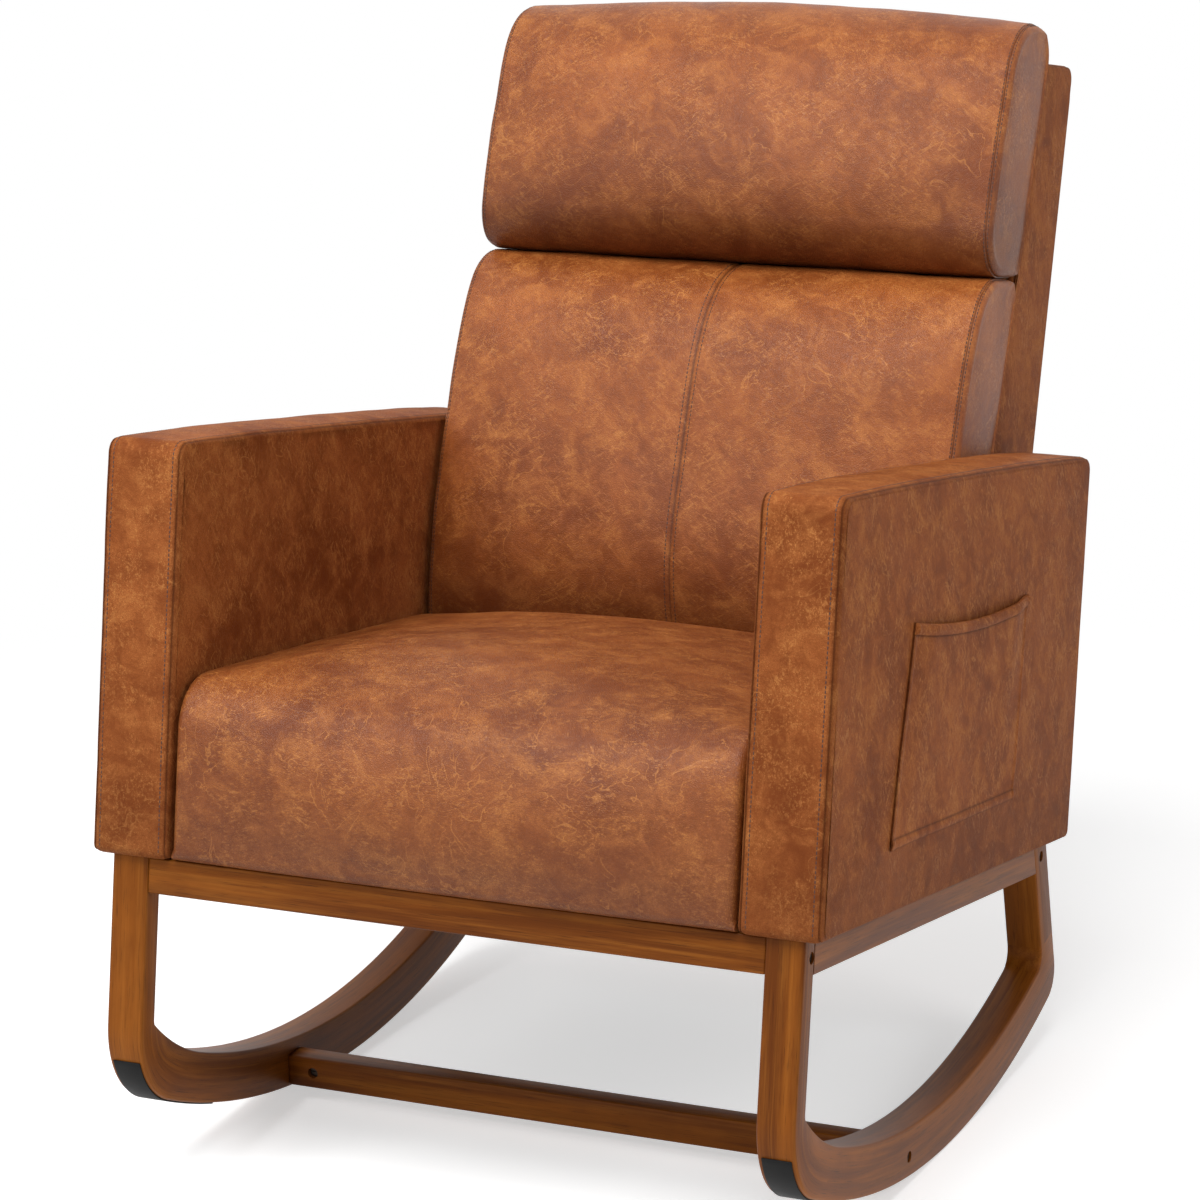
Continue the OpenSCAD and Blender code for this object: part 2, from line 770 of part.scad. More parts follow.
module barrel_nuts() {
    for (side = [-1, 1]) {
        translate([0, front_bolt_y, bolt_z]) barrel_nut(side, 1);
        translate([0, rear_bolt_y, bolt_z]) barrel_nut(side, -1);
        on_stretcher() barrel_nut(side, -1);
    }
}

// Bolt from below, head sunk in a rail, into a threaded insert above it
module base_bolt(x, y, seat) {
    low = -rail_h + head_sink;
    color(steel) difference() {
        union() {
            bar_z(low, seat + insert_l, x, y, cap_d);
            bar_z(low, low + cap_head_l, x, y, cap_head_d);
        }
        translate([x, y, low - 1]) cylinder(h = 4, d = cap_d * 0.7, $fn = 6);
    }
}

module base_bolts() {
    for (side = [-1, 1]) {
        for (y = base_bolt_y) base_bolt(side * side_mid, y, frame_low);
        for (y = seat_bolt_y) base_bolt(side * seat_bolt_x, y, box_z);
    }
}

// Socket for a threaded insert in the underside of a board
module insert_socket(x, y, low = box_z) {
    bar_z(low - 1, low + insert_l + ease, x, y, insert_d + 2 * fit);
}

module insert() {
    difference() {
        cylinder(h = insert_l, d = insert_d);
        translate([0, 0, -1]) cylinder(h = insert_l + 2, d = cap_d + 2 * fit);
    }
}

module thread_inserts() {
    color("gold") for (side = [-1, 1]) {
        for (y = base_bolt_y) translate([side * side_mid, y, frame_low]) insert();
        for (y = seat_bolt_y) translate([side * seat_bolt_x, y, box_z]) insert();
        for (y = side_bolt_y)
            translate([side * (core_in + ease), y, side_bolt_z]) rotate([0, side * 90, 0]) insert();
    }
}

// Bolts from inside the seat box through its side boards into the arm frames
module seat_bolts() {
    from = box_half - board_t - cap_head_l;
    to = core_in + ease + insert_l;
    color(steel) for (side = [-1, 1], y = side_bolt_y) difference() {
        union() {
            side_bar(side, from, to, y, side_bolt_z, cap_d);
            side_bar(side, from, from + cap_head_l, y, side_bolt_z, cap_head_d);
        }
        translate([side > 0 ? from - 1 : -from - 3, y, side_bolt_z])
            rotate([0, 90, 0]) cylinder(h = 4, d = cap_d * 0.7, $fn = 6);
    }
}

module side_bolt_holes(side, x0, x1, d) {
    for (y = side_bolt_y) side_bar(side, x0, x1, y, side_bolt_z, d);
}

module seat_front_board() {
    color(pine) difference() {
        block(-box_half + board_t, box_half - board_t, box_front, box_front + board_t, box_z, box_top);
        for (side = [-1, 1]) insert_socket(side * seat_bolt_x, seat_bolt_y[0]);
    }
}

module seat_rear_board() {
    color(pine) difference() {
        block(-box_half + board_t, box_half - board_t, box_rear - board_t, box_rear, box_z, box_top);
        for (side = [-1, 1]) insert_socket(side * seat_bolt_x, seat_bolt_y[1]);
    }
}

module seat_side_board(side) {
    color(pine) difference() {
        on_side(side, box_half - board_t, box_half)
            translate([box_front, box_z]) square([box_rear - box_front, board_h]);
        side_bolt_holes(side, box_half - board_t - 1, box_half + 1, cap_d + 2 * fit);
    }
}

module back_deck_board() {
    color(pine) difference() {
        block(-box_half + board_t, box_half - board_t, deck_front, deck_back, box_top - ply_t, box_top);
        for (x = bracket_spots, at = bracket_screw_at)
            bar_z(box_top - ply_t - 1, box_top + 1, x, bracket_y + at, screw_d + 2 * fit);
    }
}

module seat_corner_blocks() {
    color(pine) for (side = [-1, 1], end = [0, 1]) {
        x = side * (box_half - board_t);
        y = end == 0 ? box_front + board_t : box_rear - board_t;
        translate([0, 0, box_z + 8]) linear_extrude(board_h - ply_t - 16)
            polygon([[x, y], [x - side * block_leg, y], [x, y + (end == 0 ? 1 : -1) * block_leg]]);
    }
}

clip_w = 12;
clip_d = 18;
clip_play = 6;
spring_from = box_front + board_t / 2;
spring_to = deck_front + clip_d / 2;
spring_x = [for (k = [0 : springs - 1]) (k - (springs - 1) / 2) * 2 * (box_half - board_t) / (springs + 0.4)];

// Sinuous spring: waves from front to back, with straight ends across the clips
function spring_path(x) =
    let (steps = 8 * waves, run = spring_to - spring_from)
    [for (k = [0 : steps])
        let (t = k / steps, a = 360 * waves * t, pitch = run / waves)
        [x + wave_w / 2 * cos(a), spring_from + run * t - pitch * 0.12 * sin(2 * a),
            wire_z + spring_rise * sin(180 * t)]];

module seat_springs() {
    color("dimgray") for (x = spring_x) wire(spring_path(x), wire_d / 2, 5);
}

// Folded steel clips that hold the spring ends down on the boards
module spring_clips() {
    color(steel) for (x = spring_x, y = [spring_from, spring_to])
        translate([x + wave_w / 2 - wire_d, y, box_top + ease]) difference() {
            block(-clip_w / 2, clip_w / 2, -clip_d / 2, clip_d / 2, 0, wire_d + clip_play - 1);
            bar_x(-clip_w, clip_w, 0, wire_z - box_top - ease, wire_d + clip_play);
        }
}

module seat_felt() {
    color("dimgray")
        block(-box_half + 16, box_half - 16, box_front + 4, lumbar_foot - 8, felt_z, felt_z + felt_t);
}

module dust_cloth() {
    color([0.1, 0.1, 0.1])
        block(-side_in + 8, side_in - 8, front_rail_y + rail_t + 2, rear_rail_y - 2, -cloth_t, 0);
}

// Half of the width over which a seam draws a cushion in
seam_w = 7;
seat_half = arm_in - seat_gap;
lumbar_line = (lumbar_head - lumbar_foot) / (crease_up - foam_z);
seat_tail = lumbar_foot + lumbar_line * (seat_back_h - foam_z) - 5;
seat_outline = rounded(
    [
        [1, 1, 9], [skirt_t, 1, 2], [skirt_t, foam_z, 2], [lumbar_foot - 4, foam_z, 4],
        [seat_tail, seat_back_h, 15], [0, seat_front_h, seat_edge_r]
    ],
    [
        [0, 0, 0, straight], [0, 0, 0, straight], [1, 0, 0, straight], [1, 0, 0, straight],
        [10, 0, seat_crown, held], [5, 1, seat_belly, bowed]
    ],
    3
);

lumbar_outline = rounded(
    [
        [lumbar_foot, foam_z + 2, 18], [front_line(foam_z + 2) - web_gap, foam_z + 2, 18],
        [front_line(crease_up) - web_gap, crease_up - ease, 18],
        [lumbar_head, crease_up - ease, 30]
    ],
    [[0, 0, 0, straight], [2, 0, 0, straight], [1, 0, 0, straight], [15, lumbar_side, lumbar_crown, tucked]],
    3
);

head_outline = rounded(
    [
        [head_foot, crease_up + ease, 34], [front_line(crease_up) - web_gap, crease_up + ease, 18],
        [front_line(head_top - 10) - web_gap, head_top - 10, 26], [head_brow, head_top, 66]
    ],
    [[1, 0, 0, straight], [2, 0, 0, straight], [2, 0, head_rise, bowed], [9, 9, head_crown, bowed]],
    5
);

module seat_cushion() {
    color(hide) cushion(seat_outline, seat_half, 12, 9, 3, all_round = false);
}

module lumbar_cushion() {
    color(hide) cushion(lumbar_outline, pillow_half, 16, 9, 3, seam_draw);
}

module head_cushion() {
    color(hide) cushion(head_outline, pillow_half, 16, 9, 3);
}

// Side view of an arm: square at the back, rounded at the front top and underneath
module arm_view() {
    difference() {
        translate([0, ease]) square([arm_d, arm_h - ease]);
        corner_waste([arm_r, arm_h - arm_r], arm_r, [-1, 0], [0, 1]);
        corner_waste([arm_d - arm_r, arm_h - arm_r], arm_r, [1, 0], [0, 1]);
        corner_waste([arm_low_r, ease + arm_low_r], arm_low_r, [-1, 0], [0, -1]);
        corner_waste([arm_d - arm_low_r, ease + arm_low_r], arm_low_r, [1, 0], [0, -1]);
    }
}

module arm_cover(side) {
    color(hide) difference() {
        on_side(side, arm_in, chair_w / 2) arm_view();
        on_side(side, core_in, core_out)
            translate([core_front, ease + flap_t])
                square([core_back - core_front, core_top - ease - flap_t]);
        side_bolt_holes(side, arm_in - 1, core_in + 1, cap_d + 2 * fit);
        for (y = base_bolt_y) bar_z(0, ease + flap_t + 1, side * side_mid, y, cap_d + 2 * fit);
    }
}

// Timbers of the frame inside an arm, laid out in Y and Z inside the padding
module arm_timber(side, y0, y1, z0, z1) {
    on_side(side, core_in + ease, core_out - ease) translate([y0, z0]) square([y1 - y0, z1 - z0]);
}

module arm_bottom_rail(side) {
    color(pine) difference() {
        arm_timber(side, frame_front, frame_back, frame_low, frame_low + stick_w);
        for (y = base_bolt_y) insert_socket(side * side_mid, y, frame_low);
        side_bolt_holes(side, core_in - 1, core_in + insert_l + 2 * ease, insert_d + 2 * fit);
    }
}

module arm_top_rail(side) {
    color(pine) arm_timber(side, frame_front, frame_back, frame_top - stick_w, frame_top);
}

// Upright between the two rails: at 0 the front one, at 1 the rear one
module arm_post(side, place) {
    y = frame_front + place * (frame_back - frame_front - stick_w);
    color(pine) arm_timber(side, y, y + stick_w, frame_low + stick_w, frame_top - stick_w);
}

// Side view of the pocket, drawn in by edge all round except at the mouth
module pocket_view(edge, above = 0) {
    polygon([
        [mouth_y + edge, mouth_up + above], [mouth_y + mouth_w - edge, mouth_up + above],
        [mouth_y + mouth_w - 6 - edge, pocket_low + edge], [mouth_y - pocket_flare + edge, pocket_low + edge]
    ]);
}

module side_pocket() {
    x0 = chair_w / 2;
    color(hide) difference() {
        across(x0, x0 + pocket_room + hide_t) pocket_view(0);
        across(x0 - 1, x0 + pocket_room) pocket_view(hide_t, 1);
    }
}

// Rolled leather hem along the pocket's mouth, outside the pocket's leather
module pocket_hem() {
    x0 = chair_w / 2 + pocket_room + hide_t + ease / 3;
    color(hide) across(x0, x0 + hide_t) polygon([
        [mouth_y + 1, mouth_up], [mouth_y + mouth_w - 1, mouth_up],
        [mouth_y + mouth_w - 1.5, mouth_up - hem_h], [mouth_y + 0.5, mouth_up - hem_h]
    ]);
}

// Side view of the upholstered back, behind the cushions
module back_view(edge, low) {
    top = back_top - edge;
    c = [rear_edge_c[0], rear_edge_c[1]];
    difference() {
        polygon([
            [front_line(low), low], [rear_line(low) - edge / cos(rear_slope), low],
            [rear_line(top) - edge / cos(rear_slope), top], [front_line(top), top]
        ]);
        if (edge == 0) corner_waste(c, back_edge_r, [cos(rear_slope), -sin(rear_slope)], [0, 1]);
    }
}

// Side view of the seat box with its clearance, out of which the back is notched
module box_notch() {
    translate([-big, -big]) square([big + box_rear + ease, big + stand_z]);
}

// Strip of cover that runs up the rear of the back and forward over its top
module back_wrap() {
    across(-back_half, back_half) difference() {
        back_view(0, back_low);
        back_view(back_skin, back_low - 1);
        box_notch();
    }
}

module back_rear_panel() {
    color(hide) intersection() {
        back_wrap();
        block(-big, big, 0, big, 0, back_seam_z);
    }
}

module back_top_panel() {
    color(hide) intersection() {
        back_wrap();
        block(-big, big, 0, big, back_seam_z, big);
    }
}

module back_side_panel(side) {
    color(hide) on_side(side, back_half - back_skin, back_half) difference() {
        back_view(back_skin, back_low);
        box_notch();
    }
}

// Tapered plywood side of the back frame, notched over the rear of the seat box
module back_stile(side) {
    color(pine) on_side(side, stile_x - ply_t, stile_x) difference() {
        back_view(back_skin + ease, back_low);
        box_notch();
    }
}

module back_top_rail() {
    top = back_top - back_skin - ease;
    color(pine) across(-rail_x, rail_x) polygon([
        [front_line(top - ply_t), top - ply_t],
        [rear_line(top - ply_t) - back_skin / cos(rear_slope) - ease, top - ply_t],
        [rear_line(top - ply_t) - back_skin / cos(rear_slope) - ease, top],
        [front_line(top), top]
    ]);
}

module back_middle_rail() {
    z = crease_up - ply_t / 2;
    color(pine) across(-rail_x, rail_x) polygon([
        [front_line(z), z], [front_line(z) + mid_rail_d, z],
        [front_line(z + ply_t) + mid_rail_d, z + ply_t], [front_line(z + ply_t), z + ply_t]
    ]);
}

// Places what is drawn with Z along the slope of the back's front edge and Y square to it,
// from a point on that edge at height up above the seat box
module on_slope(x, up) {
    translate([x, front_line(stand_z + up), stand_z + up]) rotate([-back_slope, 0, 0]) children();
}

module back_bottom_rail() {
    z = stand_z + bottom_rail_h;
    color(pine) difference() {
        across(-rail_x, rail_x) polygon([
            [front_line(stand_z), stand_z], [front_line(stand_z) + ply_across, stand_z],
            [front_line(z) + ply_across, z], [front_line(z), z]
        ]);
        for (x = bracket_spots, up = bracket_screw_at)
            on_slope(x, up) bar_y(-1, ply_t + 1, 0, 0, screw_d + 2 * fit);
    }
}

// Elastic straps across the front edges of the back frame
web_z = [for (k = [0 : 4]) stand_z + 100 + k * 82];
head_web_z = [crease_up + 75, crease_up + 145];

module back_webbing() {
    color([0.15, 0.15, 0.16]) for (z = concat(web_z, head_web_z))
        translate([0, front_line(z), z]) rotate([-back_slope, 0, 0])
            block(-stile_x + 4, stile_x - 4, -ease - web_t, -ease, -web_w / 2, web_w / 2);
}

// Steel angle between the deck board and the rear of the back's bottom rail
module back_bracket(x) {
    color(steel) difference() {
        union() {
            block(x - bracket_w / 2, x + bracket_w / 2, bracket_y + bracket_t, bracket_y + bracket_leg,
                stand_z, stand_z + bracket_t);
            across(x - bracket_w / 2, x + bracket_w / 2) polygon([
                [bracket_y + ease, stand_z], [bracket_y + bracket_t + ease, stand_z],
                [bracket_y + back_rise * bracket_leg + bracket_t + ease, stand_z + bracket_leg],
                [bracket_y + back_rise * bracket_leg + ease, stand_z + bracket_leg]
            ]);
        }
        for (at = bracket_screw_at) {
            bar_z(stand_z - 1, stand_z + bracket_t + 1, x, bracket_y + at, screw_d + 2 * fit);
            on_slope(x, at) bar_y(ply_t, ply_t + bracket_t + 2, 0, 0, screw_d + 2 * fit);
        }
    }
}

module back_brackets() {
    for (x = bracket_spots) back_bracket(x);
}

// Wood screw with its head's underside at height 0 and its point down
module screw() {
    cylinder(h = screw_head_h, d = screw_d * 1.9);
    translate([0, 0, -screw_l]) cylinder(h = screw_l + screw_head_h / 2, d = screw_d);
}

module bracket_screws() {
    color(steel) for (x = bracket_spots, at = bracket_screw_at) {
        translate([x, bracket_y + at, stand_z + bracket_t + fit]) screw();
        on_slope(x, at) translate([0, ply_t + bracket_t + ease + fit, 0]) rotate([-90, 0, 0]) screw();
    }
}

at_rest() {
    front_leg(1);  // front_leg_right
    front_leg(-1);  // front_leg_left
    runner(1);  // runner_right
    runner(-1);  // runner_left
    rear_leg(1);  // rear_leg_right
    rear_leg(-1);  // rear_leg_left
    side_rail(1);  // side_rail_right
    side_rail(-1);  // side_rail_left
    front_rail();
    rear_rail();
    stretcher();
    runner_pads();
    frame_bolts();
    barrel_nuts();
    rail_dowels();
    loop_dowels();
    seat_front_board();
    seat_rear_board();
    seat_side_board(1);  // seat_side_board_right
    seat_side_board(-1);  // seat_side_board_left
    back_deck_board();
    seat_corner_blocks();
    seat_springs();
    spring_clips();
    seat_felt();
    seat_cushion();
    dust_cloth();
    arm_bottom_rail(1);  // arm_bottom_rail_right
    arm_bottom_rail(-1);  // arm_bottom_rail_left
    arm_top_rail(1);  // arm_top_rail_right
    arm_top_rail(-1);  // arm_top_rail_left
    arm_post(1, 0);  // arm_front_post_right
    arm_post(-1, 0);  // arm_front_post_left
    arm_post(1, 0.5);  // arm_middle_post_right
    arm_post(-1, 0.5);  // arm_middle_post_left
    arm_post(1, 1);  // arm_rear_post_right
    arm_post(-1, 1);  // arm_rear_post_left
    arm_cover(1);  // arm_cover_right
    arm_cover(-1);  // arm_cover_left
    side_pocket();
    pocket_hem();
    base_bolts();
    seat_bolts();
    thread_inserts();
    back_stile(1);  // back_stile_right
    back_stile(-1);  // back_stile_left
    back_top_rail();
    back_middle_rail();
    back_bottom_rail();
    back_webbing();
    back_rear_panel();
    back_top_panel();
    back_side_panel(1);  // back_side_panel_right
    back_side_panel(-1);  // back_side_panel_left
    lumbar_cushion();
    head_cushion();
    back_brackets();
    bracket_screws();
}
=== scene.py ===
"""Rocking chair with a mottled leather body on bent, walnut-stained wooden runners.

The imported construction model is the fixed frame. Every piece below is modelled in the chair's own
upright axes, in millimetres: X across (+X is the arm with the pocket), Y from front to back with 0
at the front of the arms, Z upwards with 0 under the arms. Chair.place then leans it back and stands
it on the floor, as the frame does.
"""
import json
import logging
import math
from dataclasses import dataclass
from enum import Enum
from typing import Callable, Optional, Sequence

import bpy
import numpy as np
from mathutils import Matrix, Vector, noise
from mathutils.bvhtree import BVHTree
from mathutils.kdtree import KDTree


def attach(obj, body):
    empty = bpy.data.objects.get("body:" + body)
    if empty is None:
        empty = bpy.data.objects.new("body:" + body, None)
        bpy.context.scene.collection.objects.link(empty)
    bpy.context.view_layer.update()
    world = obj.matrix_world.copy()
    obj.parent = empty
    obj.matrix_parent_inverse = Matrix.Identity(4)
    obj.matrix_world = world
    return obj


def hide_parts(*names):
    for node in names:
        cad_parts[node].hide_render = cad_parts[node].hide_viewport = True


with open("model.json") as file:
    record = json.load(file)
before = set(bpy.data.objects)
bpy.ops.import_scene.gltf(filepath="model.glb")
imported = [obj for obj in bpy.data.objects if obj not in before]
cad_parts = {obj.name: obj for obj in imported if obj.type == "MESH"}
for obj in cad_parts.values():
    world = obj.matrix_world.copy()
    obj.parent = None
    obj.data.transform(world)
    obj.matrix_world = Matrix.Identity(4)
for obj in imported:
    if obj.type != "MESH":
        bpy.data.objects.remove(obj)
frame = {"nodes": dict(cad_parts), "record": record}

log = logging.getLogger("rocking_chair")
BODY = "root"
MM = 0.001
LEAN_DEGREES = 8.6
SHIFT_MM = (-4.55, -440.795, 310.144)
REST = Matrix.Translation(Vector(SHIFT_MM) * MM) @ Matrix.Rotation(math.radians(-LEAN_DEGREES), 4, "X")

# Share of a cushion's bulge that is left at its sides, where its crown has fallen to nothing.
AT_SIDE = 0.75

Point = Sequence[float]
Object = bpy.types.Object
Socket = bpy.types.NodeSocket


def srgb(red: int, green: int, blue: int) -> tuple[float, float, float, float]:
    """Linear colour with alpha for a colour as a screen shows it, 0 to 255."""
    def linear(value: float) -> float:
        """Linear share of one channel."""
        share = value / 255
        return share / 12.92 if share <= 0.04045 else ((share + 0.055) / 1.055) ** 2.4
    return (linear(red), linear(green), linear(blue), 1.0)


class Side(Enum):
    """Side of the chair, as the sign of X."""

    RIGHT = 1
    LEFT = -1

    @property
    def word(self) -> str:
        """Ending that the node names use."""
        return self.name.lower()


# ---------------------------------------------------------------------------
# Finishes


class Tree:
    """A node tree with short calls for placing and linking its nodes."""

    def __init__(self, tree: bpy.types.NodeTree) -> None:
        """Wraps a material's or a group's node tree."""
        self.tree = tree

    def add(self, kind: str, settings: Optional[dict] = None, **inputs: object) -> bpy.types.Node:
        """Adds a node.

        Args:
            kind: the node's type name.
            settings: properties set on the node itself.
            inputs: socket names, with _ for a blank, each with a value or an output to link.

        Returns:
            The new node.
        """
        node = self.tree.nodes.new(kind)
        for key, value in (settings or {}).items():
            setattr(node, key, value)
        for key, value in inputs.items():
            name = key.replace("_", " ")
            socket = node.inputs[int(key[1:])] if key[0] == "i" and key[1:].isdigit() else node.inputs[name]
            if isinstance(value, Socket):
                self.tree.links.new(value, socket)
            else:
                socket.default_value = value
        return node

    def math(self, operation: str, first: object, second: object = 0.0) -> Socket:
        """Result of a Math node on one or two values or sockets."""
        return self.add("ShaderNodeMath", {"operation": operation}, i0=first, i1=second).outputs[0]

    def plus(self, first: object, second: object) -> Socket:
        """Sum of two values or sockets."""
        return self.math("ADD", first, second)

    def minus(self, first: object, second: object) -> Socket:
        """Difference of two values or sockets."""
        return self.math("SUBTRACT", first, second)

    def times(self, first: object, second: object) -> Socket:
        """Product of two values or sockets."""
        return self.math("MULTIPLY", first, second)

    def largest(self, *values: object) -> Socket:
        """Largest of several values or sockets."""
        found = values[0]
        for value in values[1:]:
            found = self.math("MAXIMUM", found, value)
        return found

    def noise(self, vector: Socket, scale: float, detail: float, rough: float, bend: float = 0.0) -> Socket:
        """Grey noise over a vector."""
        node = self.add("ShaderNodeTexNoise", Vector=vector, Scale=scale, Detail=detail,
                        Roughness=rough, Distortion=bend)
        return node.outputs["Fac"]

    def step(self, value: Socket, low: float, high: float) -> Socket:
        """0 below low, 1 above high and a smooth rise between."""
        node = self.add("ShaderNodeMapRange", {"interpolation_type": "SMOOTHSTEP"}, Value=value)
        node.inputs["From Min"].default_value = low
        node.inputs["From Max"].default_value = high
        return node.outputs["Result"]

    def mix(self, share: object, first: object, second: object) -> Socket:
        """Colour mix of two colours or sockets."""
        return self.add("ShaderNodeMix", {"data_type": "RGBA"}, i0=share, i6=first, i7=second).outputs[2]

    def show(self, shader: Socket, kind: str = "ShaderNodeOutputMaterial") -> None:
        """Links a shader to the tree's output."""
        self.tree.links.new(shader, self.add(kind).inputs["Surface"])


def cleared(owner: object) -> Tree:
    """Empty node tree of a material or a world."""
    owner.use_nodes = True
    owner.node_tree.nodes.clear()
    return Tree(owner.node_tree)


COLOUR, VECTOR, NUMBER = "NodeSocketColor", "NodeSocketVector", "NodeSocketFloat"


class FinishGroups:
    """Effects that more than one finish uses, each a node group built once.

    Every group puts out a colour, a roughness and a height. A noise is given by its scale, detail,
    roughness and distortion, and a step by where it starts and where it ends.
    """

    OUTPUTS = {"Color": COLOUR, "Rough": NUMBER, "Height": NUMBER}

    def __init__(self) -> None:
        """Starts with no group built."""
        self.built: dict[str, bpy.types.NodeTree] = {}

    def group(self, name: str, inputs: dict[str, str],
              fill: Callable[[Tree, object], tuple[Socket, Socket, Socket]]) -> bpy.types.NodeTree:
        """Builds a group, or gives the one already built.

        Args:
            name: the group's name.
            inputs: its inputs, each with its socket type.
            fill: draws the inside from the group's inputs and gives its colour, roughness and height.

        Returns:
            The node group.
        """
        if name not in self.built:
            tree = bpy.data.node_groups.new(name, "ShaderNodeTree")
            for way, sockets in (("INPUT", inputs), ("OUTPUT", self.OUTPUTS)):
                for key, kind in sockets.items():
                    tree.interface.new_socket(key, in_out=way, socket_type=kind)
            start = tree.nodes.new("NodeGroupInput")
            end = tree.nodes.new("NodeGroupOutput")
            for key, socket in zip(self.OUTPUTS, fill(Tree(tree), start.outputs)):
                tree.links.new(socket, end.inputs[key])
            self.built[name] = tree
        return self.built[name]

    def hide(self) -> bpy.types.NodeTree:
        """Pull-up leather: soft clouds, rubbed flecks in two slants, painted shade in seam creases, under the
        piece and at its foot, and a pebbled grain.
        """
        clouds, patches, gates = (9.0, 4.0, 0.6, 0.4), (1.0, 7.0, 0.7, 0.5), (26.0, 4.0, 0.65)
        wanders, breaks = (19.0, 3.0, 0.5, 1.4), (15.0, 2.0, 0.5)
        fines, specks, pebbles_per_metre = (1000.0, 3.0, 0.6), (300.0, 4.0, 0.75), 540.0
        light_step, dark_step = (0.57, 0.68), (0.6, 0.72)
        dark_share, line_share, speck_share, pore_share, shade_share = 0.55, 0.5, 0.16, 0.34, 0.75

        def fill(t: Tree, given: object) -> tuple[Socket, Socket, Socket]:
            """Draws the leather."""
            where, deep, glow = given["Vector"], given["Deep"], given["Glow"]

            def drawn_out(turn: str, size: str) -> Socket:
                """The vector turned, then measured in the size of one fleck."""
                return t.add("ShaderNodeMapping", {"vector_type": "TEXTURE"}, Vector=where,
                             Rotation=given[turn], Scale=given[size]).outputs[0]

            patch = t.noise(drawn_out("Turn A", "Patch"), *patches)
            both = t.plus(t.times(t.noise(where, *clouds), 0.5), t.times(patch, 0.5))
            tone = t.mix(t.step(both, 0.34, 0.64), deep, given["Body"])
            tone = t.mix(t.times(t.step(patch, 0.46, 0.76), 0.4), tone, glow)
            first, second = drawn_out("Turn A", "Fleck"), drawn_out("Turn B", "Fleck")
            light, dark = 0.0, 0.0
            for vector, scale in ((first, 1.0), (second, 1.15), (first, 2.3), (second, 2.7)):
                fleck = t.noise(vector, scale, 3.0, 0.55, 0.5)
                light = t.largest(light, t.step(fleck, *light_step))
                dark = t.largest(dark, t.step(t.minus(1.0, fleck), *dark_step))
            light = t.times(light, t.step(t.noise(where, *gates), 0.4, 0.58))
            tone = t.mix(t.times(light, given["Rubbed"]), tone, glow)
            tone = t.mix(t.times(dark, dark_share), tone, deep)
            wander = t.math("ABSOLUTE", t.minus(t.noise(where, *wanders), 0.5))
            line = t.minus(1.0, t.step(wander, 0.0, 0.011))
            line = t.times(line, t.step(t.noise(where, *breaks), 0.48, 0.6))
            tone = t.mix(t.times(line, line_share), tone, glow)
            cells = t.add("ShaderNodeTexVoronoi", {"feature": "DISTANCE_TO_EDGE"}, Vector=where,
                          Scale=pebbles_per_metre)
            pebble = t.step(cells.outputs["Distance"], 0.0, 0.25)
            tone = t.mix(t.times(t.minus(1.0, pebble), pore_share), tone, deep)
            tone = t.mix(t.times(t.step(t.noise(where, *specks), 0.42, 0.66), speck_share), tone, deep)
            # Painted shade: the leather darkens towards its shade colour in seam creases, where it faces down
            # and near its foot, as the seam attribute says.
            tone = t.mix(t.times(given["Seam"], shade_share), tone, given["Crease"])
            rough = t.plus(t.minus(given["Rough"], t.times(light, 0.05)), t.times(t.minus(patch, 0.5), 0.2))
            return tone, rough, t.plus(t.times(pebble, 0.6), t.times(t.noise(where, *fines), 0.4))

        return self.group("mottled_hide", {
            "Vector": VECTOR, "Patch": VECTOR, "Fleck": VECTOR, "Turn A": VECTOR, "Turn B": VECTOR,
            "Deep": COLOUR, "Body": COLOUR, "Glow": COLOUR, "Crease": COLOUR, "Seam": NUMBER,
            "Rubbed": NUMBER, "Rough": NUMBER,
        }, fill)

    def timber(self) -> bpy.types.NodeTree:
        """Wood whose first axis runs with the grain: growth bands, long pores and a stain's clouds."""
        def fill(t: Tree, given: object) -> tuple[Socket, Socket, Socket]:
            """Draws the wood."""
            def along(long: float, cross: float, *noise_of: float) -> Socket:
                """Noise stretched along the grain."""
                stretched = t.add("ShaderNodeMapping", Vector=given["Vector"], Scale=(long, cross, cross))
                return t.noise(stretched.outputs[0], 1.0, *noise_of)

            figure, band = along(2.2, 34.0, 5.0, 0.6, 0.5), along(3.5, 150.0, 4.0, 0.62, 0.2)
            mark = t.step(along(26.0, 1250.0, 3.0, 0.65), 0.55, 0.72)
            cloud = along(9.0, 16.0, 4.0, 0.55)
            tone = t.mix(t.step(figure, 0.36, 0.64), given["Deep"], given["Body"])
            tone = t.mix(t.times(t.step(band, 0.42, 0.7), 0.5), tone, given["Glow"])
            tone = t.mix(t.times(t.step(cloud, 0.4, 0.72), 0.45), tone, given["Deep"])
            tone = t.mix(t.times(mark, given["Pores"]), tone, given["Pore"])
            rough = t.plus(given["Rough"], t.times(band, 0.1))
            return tone, rough, t.minus(t.times(band, 0.25), t.times(mark, 0.6))

        return self.group("long_grain", {
            "Vector": VECTOR, "Deep": COLOUR, "Body": COLOUR, "Glow": COLOUR, "Pore": COLOUR,
            "Pores": NUMBER, "Rough": NUMBER,
        }, fill)

    def speckle(self) -> bpy.types.NodeTree:
        """Plain stuff with a fine uneven surface: metal, rubber, felt, thread and cloth."""
        def fill(t: Tree, given: object) -> tuple[Socket, Socket, Socket]:
            """Draws the speckle."""
            scaled = t.add("ShaderNodeMapping", Vector=given["Vector"], Scale=given["Stretch"]).outputs[0]
            fine = t.noise(scaled, 900.0, 2.0, 0.6)
            both = t.plus(t.times(t.noise(scaled, 60.0, 4.0, 0.6), 0.6), t.times(fine, 0.4))
            tone = t.mix(t.step(both, 0.38, 0.62), given["Dark"], given["Light"])
            return tone, t.plus(given["Rough"], t.times(t.minus(both, 0.5), 0.3)), fine

        return self.group("fine_speckle", {
            "Vector": VECTOR, "Stretch": VECTOR, "Dark": COLOUR, "Light": COLOUR, "Rough": NUMBER,
        }, fill)


GROUPS = FinishGroups()


